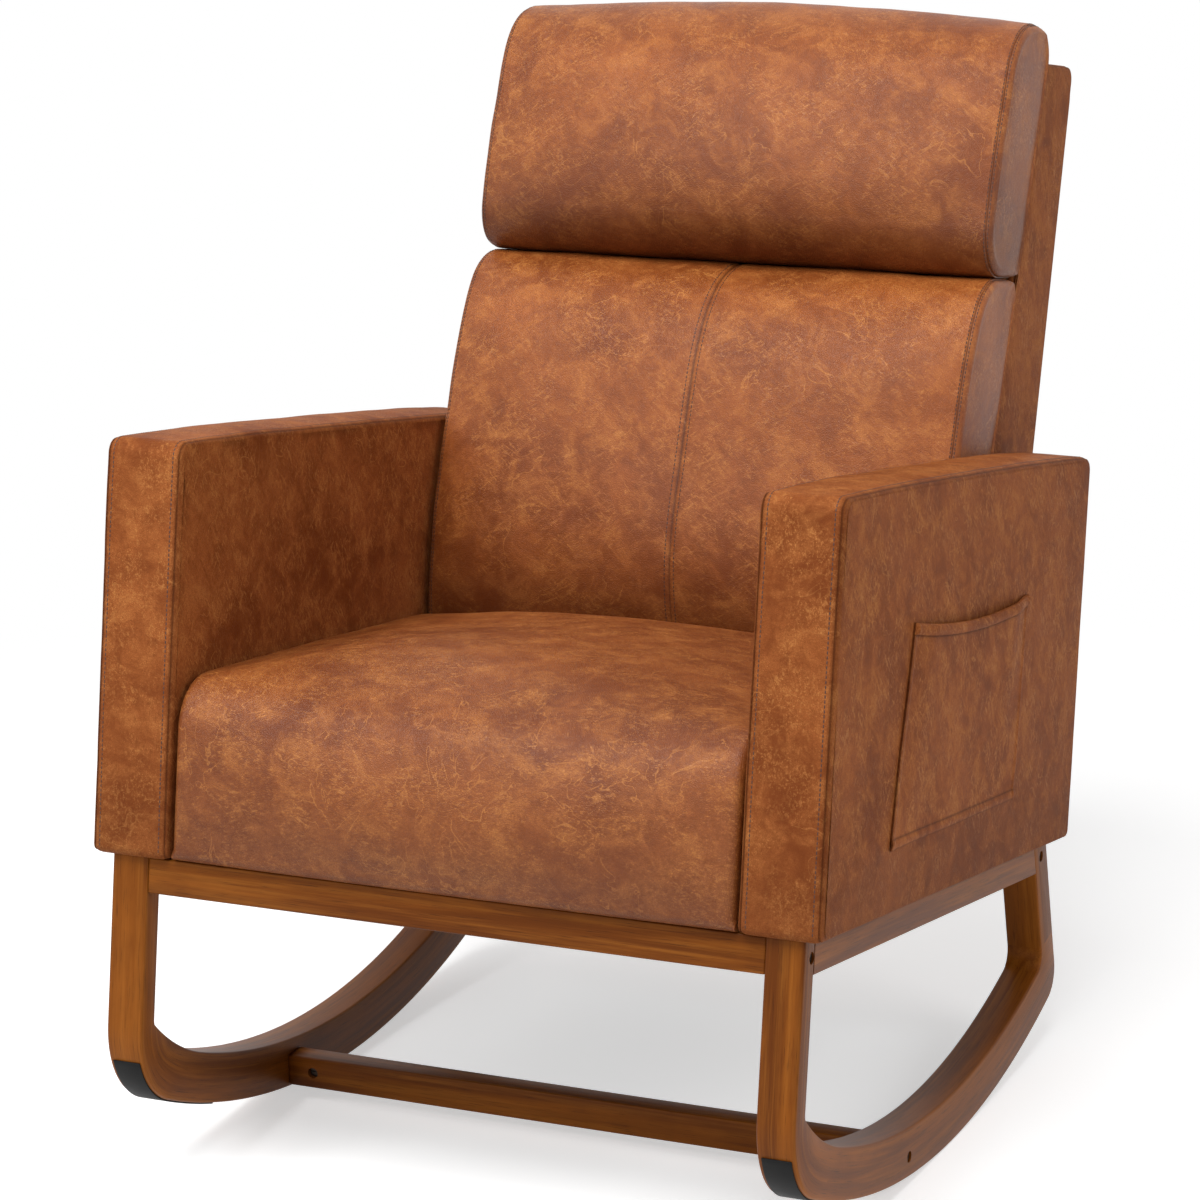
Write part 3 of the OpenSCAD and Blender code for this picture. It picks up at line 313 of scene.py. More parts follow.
def dress(name: str, group: bpy.types.NodeTree, inputs: dict[str, object], relief: float,
          plain: dict[str, object], grain: Optional[str] = None,
          mask: Optional[str] = None) -> bpy.types.Material:
    """Makes a material from a group, with its shader and relief.

    Args:
        name: the material's name.
        group: the node group that draws colour, roughness and height.
        inputs: values for the group's inputs.
        relief: height of the surface relief in millimetres.
        plain: values set on the shader itself.
        grain: name of the attribute that the pattern follows, or none for object coordinates.
        mask: name of the attribute that holds painted shade in seam creases, under the piece and at its foot,
            for a group that asks for it.

    Returns:
        The material.
    """
    material = bpy.data.materials.new(name)
    t = cleared(material)
    if grain:
        vector = t.add("ShaderNodeAttribute", {"attribute_name": grain}).outputs["Vector"]
    else:
        vector = t.add("ShaderNodeTexCoord").outputs["Object"]
    node = t.add("ShaderNodeGroup", {"node_tree": group})
    t.tree.links.new(vector, node.inputs["Vector"])
    if mask:
        near = t.add("ShaderNodeAttribute", {"attribute_name": mask})
        t.tree.links.new(near.outputs["Fac"], node.inputs["Seam"])
    for key, value in inputs.items():
        node.inputs[key].default_value = value
    bump = t.add("ShaderNodeBump", Height=node.outputs["Height"], Strength=1.0, Distance=relief * MM)
    shader = t.add("ShaderNodeBsdfPrincipled", Base_Color=node.outputs["Color"],
                   Roughness=node.outputs["Rough"], Normal=bump.outputs[0])
    for key, value in plain.items():
        shader.inputs[key].default_value = value
    t.show(shader.outputs[0])
    return material


@dataclass(frozen=True)
class Leather:
    """Cognac leather, with its rubbed flecks drawn out along one direction.

    Attributes:
        patch: size of the clouds along X, Y and Z, in metres.
        fleck: size of the flecks along X, Y and Z, in metres.
        slant: axis about which the flecks turn both ways.
        turn: how far they turn, in radians.
    """

    name: str
    patch: tuple[float, float, float]
    fleck: tuple[float, float, float]
    slant: tuple[float, float, float]
    turn: float
    deep: tuple = srgb(118, 58, 22)
    body: tuple = srgb(164, 92, 42)
    glow: tuple = srgb(208, 138, 72)
    # Colour of the painted shade in seam creases, under the piece and at its foot.
    crease: tuple = srgb(62, 28, 12)
    rubbed: float = 0.45
    rough: float = 0.4
    shine: float = 0.25

    def material(self) -> bpy.types.Material:
        """Builds the leather material."""
        # The seam attribute holds painted shade in seam creases, under the piece and at its foot.
        return dress(self.name, GROUPS.hide(), {
            "Patch": self.patch, "Fleck": self.fleck, "Rubbed": self.rubbed,
            "Turn A": tuple(self.turn * v for v in self.slant),
            "Turn B": tuple(-self.turn * v for v in self.slant), "Deep": self.deep, "Body": self.body,
            "Glow": self.glow, "Crease": self.crease, "Rough": self.rough,
        }, 0.3, {"Specular IOR Level": self.shine}, mask="seam")


@dataclass(frozen=True)
class Timber:
    """Wood, either stained or bare."""

    name: str
    deep: tuple
    body: tuple
    glow: tuple
    pore: tuple
    pores: float
    rough: float
    grain: Optional[str] = None
    shine: float = 0.4

    def material(self) -> bpy.types.Material:
        """Builds the wood material."""
        return dress(self.name, GROUPS.timber(), {
            "Deep": self.deep, "Body": self.body, "Glow": self.glow, "Pore": self.pore,
            "Pores": self.pores, "Rough": self.rough,
        }, 0.05, {"Specular IOR Level": self.shine}, self.grain)


@dataclass(frozen=True)
class Plain:
    """Metal, rubber, thread, felt or cloth."""

    name: str
    dark: tuple
    light: tuple
    rough: float
    metallic: float = 0.0
    stretch: tuple[float, float, float] = (1.0, 1.0, 1.0)
    relief: float = 0.05
    shine: float = 0.5

    def material(self) -> bpy.types.Material:
        """Builds the material."""
        return dress(self.name, GROUPS.speckle(), {
            "Stretch": self.stretch, "Dark": self.dark, "Light": self.light, "Rough": self.rough,
        }, self.relief, {"Metallic": self.metallic, "Specular IOR Level": self.shine})


class Palette:
    """Every finish of the chair, built once."""

    def __init__(self) -> None:
        """Builds the materials."""
        self.cushion = Leather("leather_cushion", (0.034, 0.03, 0.026), (0.016, 0.004, 0.0032),
                               (0.0, 1.0, 0.0), 0.6).material()
        # The seat's deep and body colours are darker than the cushions' to paint the shade that the arms and
        # the back cast over the seat.
        self.seat = Leather("leather_seat", (0.036, 0.034, 0.028), (0.016, 0.0036, 0.0032),
                            (0.0, 0.6, 0.8), 0.5, deep=srgb(108, 52, 20), body=srgb(152, 85, 39)).material()
        dull = dict(deep=srgb(113, 57, 26), body=srgb(159, 91, 47), glow=srgb(194, 130, 72),
                    shine=0.04, rough=0.54, rubbed=0.52)
        self.side = Leather("leather_side", (0.03, 0.022, 0.03), (0.004, 0.0032, 0.014),
                            (1.0, 0.0, 0.0), 0.55, **dull).material()
        self.back = Leather("leather_back", (0.03, 0.026, 0.034), (0.004, 0.0035, 0.015),
                            (1.0, 0.4, 0.0), 0.35, **dull).material()
        stain = dict(deep=srgb(96, 48, 10), body=srgb(134, 74, 20), glow=srgb(158, 96, 34),
                     pore=srgb(52, 25, 6), pores=0.8, rough=0.36, shine=0.1)
        self.stained = Timber("stained_wood", grain="grain", **stain).material()
        self.pine = Timber("bare_pine", srgb(186, 142, 92), srgb(208, 168, 118), srgb(222, 186, 140),
                           srgb(150, 105, 62), 0.3, 0.7).material()
        self.thread = Plain("brown_thread", srgb(52, 24, 12), srgb(74, 38, 20), 0.6).material()
        self.rubber = Plain("black_rubber", srgb(10, 10, 10), srgb(20, 20, 20), 0.6, shine=0.15).material()
        self.by_slot = {
            "stained_wood": self.stained, "pine": self.pine, "leather": self.cushion,
            "back_leather": self.back, "black_rubber": self.rubber,
            "dark_steel": Plain("dark_steel", srgb(52, 44, 38), srgb(84, 74, 66), 0.38, 1.0).material(),
            "zinc_steel": Plain("zinc_steel", srgb(150, 152, 156), srgb(188, 190, 194), 0.36, 1.0).material(),
            "brass": Plain("turned_brass", srgb(170, 130, 60), srgb(206, 166, 92), 0.32, 1.0,
                           (1.0, 1.0, 6.0)).material(),
            "felt": Plain("grey_felt", srgb(70, 70, 72), srgb(108, 108, 110), 0.9, relief=0.3).material(),
            "black_cloth": Plain("black_cloth", srgb(18, 18, 19), srgb(36, 36, 38), 0.85,
                                 stretch=(2.0, 2.0, 2.0), relief=0.15).material(),
            "webbing": Plain("elastic_webbing", srgb(24, 24, 26), srgb(58, 58, 62), 0.8,
                             stretch=(1.0, 1.0, 8.0), relief=0.2).material(),
        }


# ---------------------------------------------------------------------------
# Modelling

SHARP_DEGREES = 32
WELD_MM = 0.02
HOLE_FACETS = 28


def pick(obj: Object) -> None:
    """Makes an object the active one and the only one selected."""
    bpy.ops.object.select_all(action="DESELECT")
    obj.select_set(True)
    bpy.context.view_layer.objects.active = obj


def to_edit(obj: Object, mode: str = "FACE") -> None:
    """Makes an object the only selected one and opens it in edit mode."""
    pick(obj)
    bpy.ops.object.mode_set(mode="EDIT")
    bpy.ops.mesh.select_mode(type=mode)


def to_object() -> None:
    """Goes back to object mode."""
    bpy.ops.object.mode_set(mode="OBJECT")


def face_outward() -> None:
    """Turns every face of the piece in edit mode outward."""
    bpy.ops.mesh.select_all(action="SELECT")
    bpy.ops.mesh.normals_make_consistent(inside=False)


def points_of(obj: Object) -> np.ndarray:
    """The object's vertices as an array."""
    co = np.empty(len(obj.data.vertices) * 3, np.float64)
    obj.data.vertices.foreach_get("co", co)
    return co.reshape(-1, 3)


def normals_of(obj: Object) -> np.ndarray:
    """The normals at the object's vertices as an array."""
    way = np.empty(len(obj.data.vertices) * 3, np.float64)
    obj.data.vertices.foreach_get("normal", way)
    return way.reshape(-1, 3)


def set_points(obj: Object, points: np.ndarray) -> None:
    """Moves the object's vertices to the given places."""
    obj.data.vertices.foreach_set("co", np.ascontiguousarray(points, np.float64).ravel())
    obj.data.update()


def fresh(name: str) -> Object:
    """Names the primitive that was just added."""
    obj = bpy.context.active_object
    obj.name = name
    obj.data.name = name
    return obj


def modify(obj: Object, kind: str, **settings: object) -> None:
    """Adds a modifier with these settings and applies it."""
    added = obj.modifiers.new(kind.lower(), kind)
    for key, value in settings.items():
        setattr(added, key, value)
    pick(obj)
    bpy.ops.object.modifier_apply(modifier=added.name)


def cut_away(obj: Object, cutter: Object) -> None:
    """Cuts one closed piece out of another with a Boolean and removes the cutter."""
    modify(obj, "BOOLEAN", operation="DIFFERENCE", solver="EXACT", object=cutter)
    bpy.data.objects.remove(cutter)


def board(name: str, outline: Sequence[Point], x0: float, x1: float, eased: float, steps: int = 3,
          joints: Sequence[tuple[Point, Point]] = ()) -> Object:
    """A board with a flat outline in Y and Z, carried across and eased along its edges.

    Args:
        name: the piece's name.
        outline: corner points of the side view, in millimetres.
        x0: where it starts across the chair.
        x1: where it ends.
        eased: radius of its eased edges.
        steps: facets of an eased edge.
        joints: ends glued to another piece, each by its two corners, which stay sharp.

    Returns:
        The closed board.
    """
    bpy.ops.object.select_all(action="DESELECT")
    bpy.ops.mesh.primitive_circle_add(vertices=len(outline), fill_type="NGON")
    obj = fresh(name)
    set_points(obj, np.array([(x0, y, z) for y, z in outline]) * MM)
    to_edit(obj, "EDGE")
    bpy.ops.mesh.select_all(action="SELECT")
    bpy.ops.mesh.extrude_region_move(TRANSFORM_OT_translate={"value": ((x1 - x0) * MM, 0.0, 0.0)})
    face_outward()
    bpy.ops.mesh.select_all(action="DESELECT")
    bpy.ops.mesh.edges_select_sharp(sharpness=math.radians(SHARP_DEGREES))
    to_object()
    place = points_of(obj)[:, 1:] / MM
    for ends in joints:
        at_joint = np.min([np.linalg.norm(place - np.array(e), axis=1) for e in ends], axis=0) < 0.01
        for edge in obj.data.edges:
            if at_joint[edge.vertices[0]] and at_joint[edge.vertices[1]]:
                edge.select = False
    to_edit(obj, "EDGE")
    bpy.ops.mesh.bevel(offset=eased * MM, segments=steps, affect="EDGES")
    to_object()
    return obj


def bore(obj: Object, holes: Sequence[tuple[Point, Point, float]]) -> None:
    """Drills holes with a Boolean.

    Args:
        obj: the piece to drill.
        holes: each hole's start, end and diameter in millimetres.
    """
    for start, end, width in holes:
        a, b = Vector(start) * MM, Vector(end) * MM
        bpy.ops.object.select_all(action="DESELECT")
        bpy.ops.mesh.primitive_cylinder_add(vertices=HOLE_FACETS, radius=width / 2 * MM, depth=(b - a).length,
                                            location=(a + b) / 2,
                                            rotation=(b - a).to_track_quat("Z", "Y").to_euler())
        cut_away(obj, fresh("drill"))


def wrap(name: str, rings: np.ndarray, closed: bool = True, marks: Optional[dict] = None) -> Object:
    """Wraps a grid onto rings of points and closes its seam and its poles.

    Args:
        name: the piece's name.
        rings: rows of points in millimetres, each row the same number of points.
        closed: whether each row runs back to its first point.
        marks: values kept with the points, each one number per row or per point.

    Returns:
        The wrapped surface.
    """
    rows = np.concatenate([rings, rings[:, :1]], axis=1) if closed else rings
    m, n = rows.shape[:2]
    bpy.ops.object.select_all(action="DESELECT")
    bpy.ops.mesh.primitive_grid_add(x_subdivisions=n - 1, y_subdivisions=m - 1, size=2.0)
    obj = fresh(name)
    flat = points_of(obj)
    column = np.rint((flat[:, 0] + 1) / 2 * (n - 1)).astype(int)
    row = np.rint((flat[:, 1] + 1) / 2 * (m - 1)).astype(int)
    set_points(obj, rows[row, column] * MM)
    for key, values in (marks or {}).items():
        table = np.asarray(values, float)
        if table.ndim == 1:
            table = np.repeat(table[:, None], n, axis=1)
        elif closed:
            table = np.column_stack([table, table[:, :1]])
        layer = obj.data.attributes.new(key, "FLOAT", "POINT")
        layer.data.foreach_set("value", table[row, column].astype(np.float32))
    to_edit(obj)
    bpy.ops.mesh.select_all(action="SELECT")
    bpy.ops.mesh.remove_doubles(threshold=WELD_MM * MM)
    face_outward()
    to_object()
    return obj


def close_ends(obj: Object) -> None:
    """Closes an open tube's ends, each with one flat face."""
    to_edit(obj, "EDGE")
    bpy.ops.mesh.select_all(action="DESELECT")
    bpy.ops.mesh.select_non_manifold()
    bpy.ops.mesh.fill_holes(sides=0)
    face_outward()
    to_object()


def run_of(line: np.ndarray) -> np.ndarray:
    """Length along a path up to each of its points."""
    return np.concatenate([[0.0], np.cumsum(np.linalg.norm(np.diff(line, axis=0), axis=1))])


def spaced(path: Sequence[Point], count: int) -> np.ndarray:
    """Evenly spaced points of a path, both ends included."""
    line = np.array(path, float)
    run = run_of(line)
    at = np.linspace(0, run[-1], count)
    return np.column_stack([np.interp(at, run, column) for column in line.T])


def even_pairs(first: Sequence[Point], second: Sequence[Point], count: int) -> list[tuple]:
    """Pairs of points, evenly along one path and another, both ends included."""
    return list(zip(spaced(first, count), spaced(second, count)))


def bent_board(name: str, pairs: Sequence[tuple], x0: float, x1: float, eased: float) -> Object:
    """A curved board that runs along pairs of points, its long edges eased and its ends square.

    Args:
        name: the piece's name.
        pairs: outer and inner point of each cross-section, in Y and Z.
        x0: where it starts across the chair.
        x1: where it ends.
        eased: radius of the eased edges.

    Returns:
        The closed board.
    """
    rings = []
    for outer, inner in pairs:
        outer, inner = np.array(outer), np.array(inner)
        height = float(np.linalg.norm(outer - inner))
        up = (outer - inner) / height
        left, right, low, high = x0 + eased, x1 - eased, eased, height - eased
        corners = ((right, high), (left, high), (left, low), (right, low))
        ring = []
        for quarter, (x, rise) in enumerate(corners):
            for k in range(4):
                a = math.radians(90 * quarter + 30 * k)
                ring.append((x + eased * math.cos(a), *(inner + up * (rise + eased * math.sin(a)))))
        rings.append(ring)
    obj = wrap(name, np.array(rings))
    close_ends(obj)
    return obj


def smooth(obj: Object, degrees: float = 40.0) -> None:
    """Shades an object smooth, with sharp edges where faces meet at a greater angle."""
    pick(obj)
    bpy.ops.object.shade_smooth_by_angle(angle=math.radians(degrees))


def arc(centre: Point, radius: float, start: float, end: float, step: float) -> list[tuple[float, float]]:
    """Points of an arc in Y and Z, both ends included, angles in degrees."""
    count = max(2, int(math.ceil(abs(end - start) / step)))
    turns = [math.radians(start + (end - start) * k / count) for k in range(count + 1)]
    return [(centre[0] + radius * math.cos(a), centre[1] + radius * math.sin(a)) for a in turns]


def bearing(direction: Point) -> float:
    """Angle of a direction in Y and Z, in degrees."""
    return math.degrees(math.atan2(direction[1], direction[0]))


@dataclass(frozen=True)
class Edge:
    """Edge of a cushion's side view, after its corner.

    Attributes:
        cuts: points along it.
        bulge: how far it stands out all the way across, in millimetres.
        crown: how much further it stands out in the middle of the chair.
        shape: how both follow from the edge's start, 0, to its end, 1.
    """

    cuts: int = 0
    bulge: float = 0.0
    crown: float = 0.0
    shape: Callable[[float], float] = lambda t: 0.0


def bowed(t: float) -> float:
    """Evenly bowed edge."""
    return 1 - abs(2 * t - 1) ** 4


def held(t: float) -> float:
    """Edge that is held up from its start."""
    return 1 - abs(2 * t - 1) ** (4 if t > 0.5 else 14)


def tucked(t: float) -> float:
    """Front that stands full near its head, 0, and is tucked in at its foot, 1."""
    return 1 - ((0.42 - t) / 0.42) ** 5 if t < 0.42 else max(0.0, 1 - ((t - 0.42) / 0.4) ** 2.8)


def rolled(t: float) -> float:
    """Front that swells most past its middle and rolls under at its foot."""
    return 1 - ((0.58 - t) / 0.58) ** 1.8 if t < 0.58 else 1 - ((t - 0.58) / 0.42) ** 2


def crowned(x: float, half: float) -> float:
    """Share of a crown at a place across, from 0 at a side to 1 in the middle."""
    return 1 - (abs(x) / half) ** 2.2


def rounded(corners: Sequence[Point], edges: Sequence[Edge], steps: int) -> np.ndarray:
    """Closed outline with rounded corners.

    Args:
        corners: each corner's place in Y and Z and its radius.
        edges: the edge that follows each corner.
        steps: facets of each rounding.

    Returns:
        One row per point: Y, Z, outward Y, outward Z, bulge and crown.
    """
    place = [np.array(c[:2], float) for c in corners]
    count = len(place)

    def toward(i: int, way: int) -> np.ndarray:
        """Direction from one corner to its neighbour."""
        d = place[(i + way) % count] - place[i % count]
        return d / np.linalg.norm(d)

    def reach(i: int) -> float:
        """How far a corner's rounding reaches along its edges."""
        half = math.acos(float(np.clip(toward(i, -1) @ toward(i, 1), -1, 1))) / 2
        return corners[i % count][2] / math.tan(half)

    rows: list[list[float]] = []
    for i in range(count):
        u, v, r = toward(i, -1), toward(i, 1), corners[i][2]
        half = math.acos(float(np.clip(u @ v, -1, 1))) / 2
        hollow = -1 if u[0] * v[1] - u[1] * v[0] > 0 else 1
        centre = place[i] + (u + v) / np.linalg.norm(u + v) * r / math.sin(half)
        start = place[i] + u * reach(i) - centre
        a0 = math.atan2(start[1], start[0])
        turn = hollow * (math.pi - 2 * half)
        for k in range(steps + 1):
            a = a0 + turn * k / steps
            way = np.array([math.cos(a), math.sin(a)])
            rows.append([*(centre + r * way), *(hollow * way), 0.0, 0.0])
        first = place[i] + v * reach(i)
        span = place[(i + 1) % count] + toward(i + 1, -1) * reach(i + 1) - first
        edge = edges[i]
        for k in range(1, edge.cuts + 1):
            t = (1 - math.cos(math.pi * k / (edge.cuts + 1))) / 2
            w = edge.shape(t)
            rows.append([*(first + t * span), v[1], -v[0], w * edge.bulge, w * edge.crown])
    return np.array(rows)


def blended(outline: np.ndarray, reach: float) -> np.ndarray:
    """The outline with its bulge and crown rising and falling softly.

    Args:
        outline: rows from rounded().
        reach: how far along the outline the softening reaches, in millimetres.

    Returns:
        Rows like those given.
    """
    step = np.linalg.norm(np.roll(outline[:, :2], -1, 0) - outline[:, :2], axis=1)
    at = np.concatenate([[0.0], np.cumsum(step)[:-1]])
    gap = np.abs(at[:, None] - at[None, :])
    gap = np.minimum(gap, step.sum() - gap)
    weight = np.exp(-(gap / reach) ** 2 / 2) * (step + np.roll(step, 1))[None, :]
    weight /= weight.sum(axis=1, keepdims=True)
    soft = outline.copy()
    soft[:, 4:] = weight @ outline[:, 4:]
    return soft


def lifted(outline: np.ndarray, share: float, inset: float = 0.0, drawn: float = 1.0) -> np.ndarray:
    """Points of an outline where the cushion has this share of its crown.

    Args:
        outline: rows from rounded(), or from Back.filled() for a front that stands forward.
        share: share of the crown, from 0 at a side to 1 in the middle.
        inset: how far the outline is drawn in.
        drawn: share of the inset that is left where the outline faces the rear.

    Returns:
        One Y and Z for each row.
    """
    bulge = AT_SIDE + (1 - AT_SIDE) * (1 - (1 - share) ** 4)
    back = np.clip(outline[:, 2] * 1.6, 0, 1)
    out = outline[:, 4] * bulge + outline[:, 5] * share - inset * (1 - back * (1 - drawn))
    flat = outline[:, :2] + outline[:, 2:4] * out[:, None]
    if outline.shape[1] > 6:
        flat[:, 0] -= outline[:, 6] * bulge + outline[:, 7] * share
        flat[:, 1] += outline[:, 8] * share
    return flat


def carry(outline: np.ndarray, stations: Sequence[Point], centre: Optional[Point] = None,
          drawn: float = 1.0) -> np.ndarray:
    """Carries an outline across the chair.

    Args:
        outline: rows from rounded().
        stations: each as X, how far the outline is drawn in, the share of the crown and, where it
            is on a side panel, the scale towards the centre.
        centre: the middle of the side panels in Y and Z.
        drawn: share of each inset that is left where the outline faces the rear.

    Returns:
        Rings of points for wrap().
    """
    rings = []
    for x, inset, crown, scale in stations:
        flat = lifted(outline, crown, inset, drawn)
        if centre is not None and scale < 1:
            flat = np.array(centre) + (flat - np.array(centre)) * scale
        rings.append(np.column_stack([np.full(len(flat), x), flat]))
    return np.array(rings)


def uneven(obj: Object, height: float, width: float, seed: float) -> None:
    """Gives a padded piece the slight swells of stuffing under leather, except where it rests.

    Args:
        obj: the piece.
        height: how far the swells reach, in millimetres.
        width: how wide a swell is.
        seed: where in the noise the piece starts.
    """
    co, way = points_of(obj), normals_of(obj)
    start = Vector((seed, 0.3, 0.7))
    swell = np.array([noise.noise(Vector(c) / (width * MM) + start)
                      + 0.45 * noise.noise(Vector(c) * 2.3 / (width * MM) - start) for c in co])
    free = np.clip((0.5 - way[:, 1]) / 0.4, 0, 1) * np.clip((0.9 + way[:, 2]) / 0.4, 0, 1)
    set_points(obj, co + way * (swell * free * height * MM)[:, None])


def paint_under_shade(obj: Object, foot: float, depth: float) -> None:
    """Paints shade into a padded piece's leather where it faces down and just over its foot.

    Args:
        obj: the piece, in the chair's upright axes, with its seams marked.
        foot: height of its foot, in millimetres.
        depth: how dark the painted shade is at its foot.
    """
    even, fading = 30.0, 55.0
    layer = obj.data.attributes["seam"]
    seam = np.empty(len(obj.data.vertices), np.float32)
    layer.data.foreach_get("value", seam)
    # Painted shade where the leather faces down, and painted shade fading up from the foot.
    under = np.clip(-normals_of(obj)[:, 2] + 0.05, 0, 0.8) * 0.6
    low = depth * np.exp(-np.maximum(points_of(obj)[:, 2] / MM - foot - even, 0) / fading)
    layer.data.foreach_set("value", np.maximum(seam, np.maximum(under, low)).astype(np.float32))


@dataclass(frozen=True)
class Stuffing:
    """Pressure of the stuffing on a cushion's cover, found by cloth simulation.

    A coarse copy of the cover is blown up as cloth, and its movement is carried back to the
    cushion, so that seams keep their fine shape.
    """

    voxel: float = 9.0
    pressure: float = 4.0
    frames: int = 20
    cap: float = 6.0
    near: int = 10

    def swell(self, obj: Object, held: Callable[[np.ndarray], np.ndarray]) -> None:
        """Swells a cushion.

        Args:
            obj: the cushion, in the chair's upright axes.
            held: gives how firmly each point of an array, in millimetres, is held, from 0 to 1.
        """
        cover = obj.copy()
        cover.data = obj.data.copy()
        bpy.context.scene.collection.objects.link(cover)
        modify(cover, "REMESH", mode="VOXEL", voxel_size=self.voxel * MM)
        before = points_of(cover)
        group = cover.vertex_groups.new(name="held")
        for index, weight in enumerate(held(before / MM)):
            group.add([index], float(weight), "REPLACE")
        cloth = cover.modifiers.new("cloth", "CLOTH")
        cloth.settings.quality = 6
        cloth.settings.mass = 0.3
        cloth.settings.use_pressure = True
        cloth.settings.uniform_pressure_force = self.pressure
        cloth.settings.vertex_group_mass = group.name
        cloth.settings.effector_weights.gravity = 0.0
        cloth.collision_settings.use_collision = False
        cloth.point_cache.frame_start, cloth.point_cache.frame_end = 1, self.frames
        for number in range(1, self.frames + 1):
            bpy.context.scene.frame_set(number)
        bpy.context.view_layer.objects.active = cover
        bpy.ops.object.modifier_apply(modifier=cloth.name)
        move = (points_of(cover) - before) / MM
        bpy.context.scene.frame_set(1)
        bpy.data.objects.remove(cover)
        far = np.linalg.norm(move, axis=1, keepdims=True) + 1e-9
        log.info("%s: cover moved up to %.1f mm", obj.name, float(far.max()))
        move = move / far * np.tanh(far / self.cap) * self.cap
        tree = KDTree(len(before))
        for index, place in enumerate(before):
            tree.insert(Vector(place), index)
        tree.balance()
        points = points_of(obj)
        shift = np.zeros_like(points)
        for index, place in enumerate(points):
            found = tree.find_n(Vector(place), self.near)
            weight = np.array([1 / (d * 1000 + 2.0) ** 2 for _, _, d in found])
            shift[index] = weight @ move[[i for _, i, _ in found]] / weight.sum()
        firm = np.clip(held(points / MM), 0, 1)[:, None]
        set_points(obj, points + shift * (1 - firm) * MM)


class Surface:
    """Finished surface that seams and stitches are laid on."""

    def __init__(self, obj: Object) -> None:
        """Reads the object's mesh as it is now."""
        mesh = obj.data
        self.tree = BVHTree.FromPolygons([v.co.copy() for v in mesh.vertices],
                                         [tuple(p.vertices) for p in mesh.polygons])

    def nearest(self, point: Point) -> tuple[np.ndarray, np.ndarray]:
        """Nearest place on the surface and its normal, in metres, for a point in millimetres."""
        place, normal, _, _ = self.tree.find_nearest(Vector(point) * MM)
        return np.array(place), np.array(normal)

    def outer_face(self, y: float, z: float) -> float:
        """X of the right-hand face at a spot, in millimetres."""
        place, _, _, _ = self.tree.ray_cast(Vector((500.0, y, z)) * MM, Vector((-1.0, 0.0, 0.0)))
        return place.x / MM


class Sewing:
    """Rows of stitches, each stitch a small rounded thread."""

    LENGTH = 2.7
    WIDTH = 1.0
    HEIGHT = 0.6
    PITCH = 4.0

    def __init__(self, palette: Palette) -> None:
        """Models one stitch, which every row copies."""
        self.palette = palette
        bpy.ops.object.select_all(action="DESELECT")
        bpy.ops.mesh.primitive_uv_sphere_add(segments=6, ring_count=4, radius=0.5)
        stitch = fresh("stitch")
        shape = points_of(stitch)[:, [2, 0, 1]]
        self.shape = np.sign(shape) * np.abs(shape) ** 0.8 * (self.LENGTH, self.WIDTH, self.HEIGHT) * MM
        self.faces = [tuple(p.vertices) for p in stitch.data.polygons]
        bpy.data.objects.remove(stitch)

    def row(self, name: str, surface: Surface, paths: Sequence[Sequence[Point]], slot: str) -> Object:
        """Sews rows of stitches on a surface.

        Args:
            name: the piece's name.
            surface: the surface sewn on.
            paths: each row's path in millimetres.
            slot: material slot of the record.

        Returns:
            One piece with all the stitches.
        """
        points, faces = [], []
        for path in paths:
            length = run_of(np.array(path, float))[-1]
            spots = spaced(path, max(2, int(length / self.PITCH)) + 1)
            for a, b in zip(spots[:-1], spots[1:]):
                place, normal = surface.nearest((a + b) / 2)
                along = (b - a) / max(np.linalg.norm(b - a), 1e-9)
                along = along - normal * (along @ normal)
                along /= max(np.linalg.norm(along), 1e-9)
                across = np.cross(normal, along)
                base = len(points) * len(self.shape)
                points.append(place + self.shape @ np.array([along, across, normal]))
                faces.extend(tuple(base + k for k in f) for f in self.faces)
        mesh = bpy.data.meshes.new(name)
        mesh.from_pydata(np.concatenate(points).tolist(), [], faces)
        obj = bpy.data.objects.new(name, mesh)
        bpy.context.scene.collection.objects.link(obj)
        return Chair.place(obj, self.palette.thread, slot, [])


class Chair:
    """What all sub-assemblies share.

    Attributes:
        HALF: outer side of the arms, across from the middle.
        ARM_IN: inner side of the arms.
        SIDE_OUT: outer side of the wooden side frames.
        SIDE_IN: inner side of the wooden side frames.
        ARM_BOLTS: Y of the two bolts that hold each arm.
        made: names of the pieces placed so far.
    """

    HALF = 340.0
    ARM_IN = 268.0
    SIDE_OUT = 326.0
    SIDE_IN = 291.0
    ARM_BOLTS = (130.0, 500.0)
    made: list[str] = []

    @classmethod
    def place(cls, obj: Object, material: bpy.types.Material, slot: str, nodes: Sequence[str],
              angle: float = 40.0) -> Object:
        """Leans a finished piece back with the chair, dresses it and ties it to the frame.

        Args:
            obj: the piece, in the chair's upright axes.
            material: its finish.
            slot: material slot of the record; not used.
            nodes: nodes of the frame that it stands for.
            angle: edges sharper than this stay sharp.

        Returns:
            The placed piece.
        """
        obj.data.transform(REST)
        obj.data.materials.clear()
        obj.data.materials.append(material)
        smooth(obj, angle)
        if nodes:
            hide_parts(*nodes)
        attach(obj, BODY)
        cls.made.append(obj.name)
        log.info("%s: %d faces", obj.name, len(obj.data.polygons))
        return obj


# ---------------------------------------------------------------------------
# Wooden base


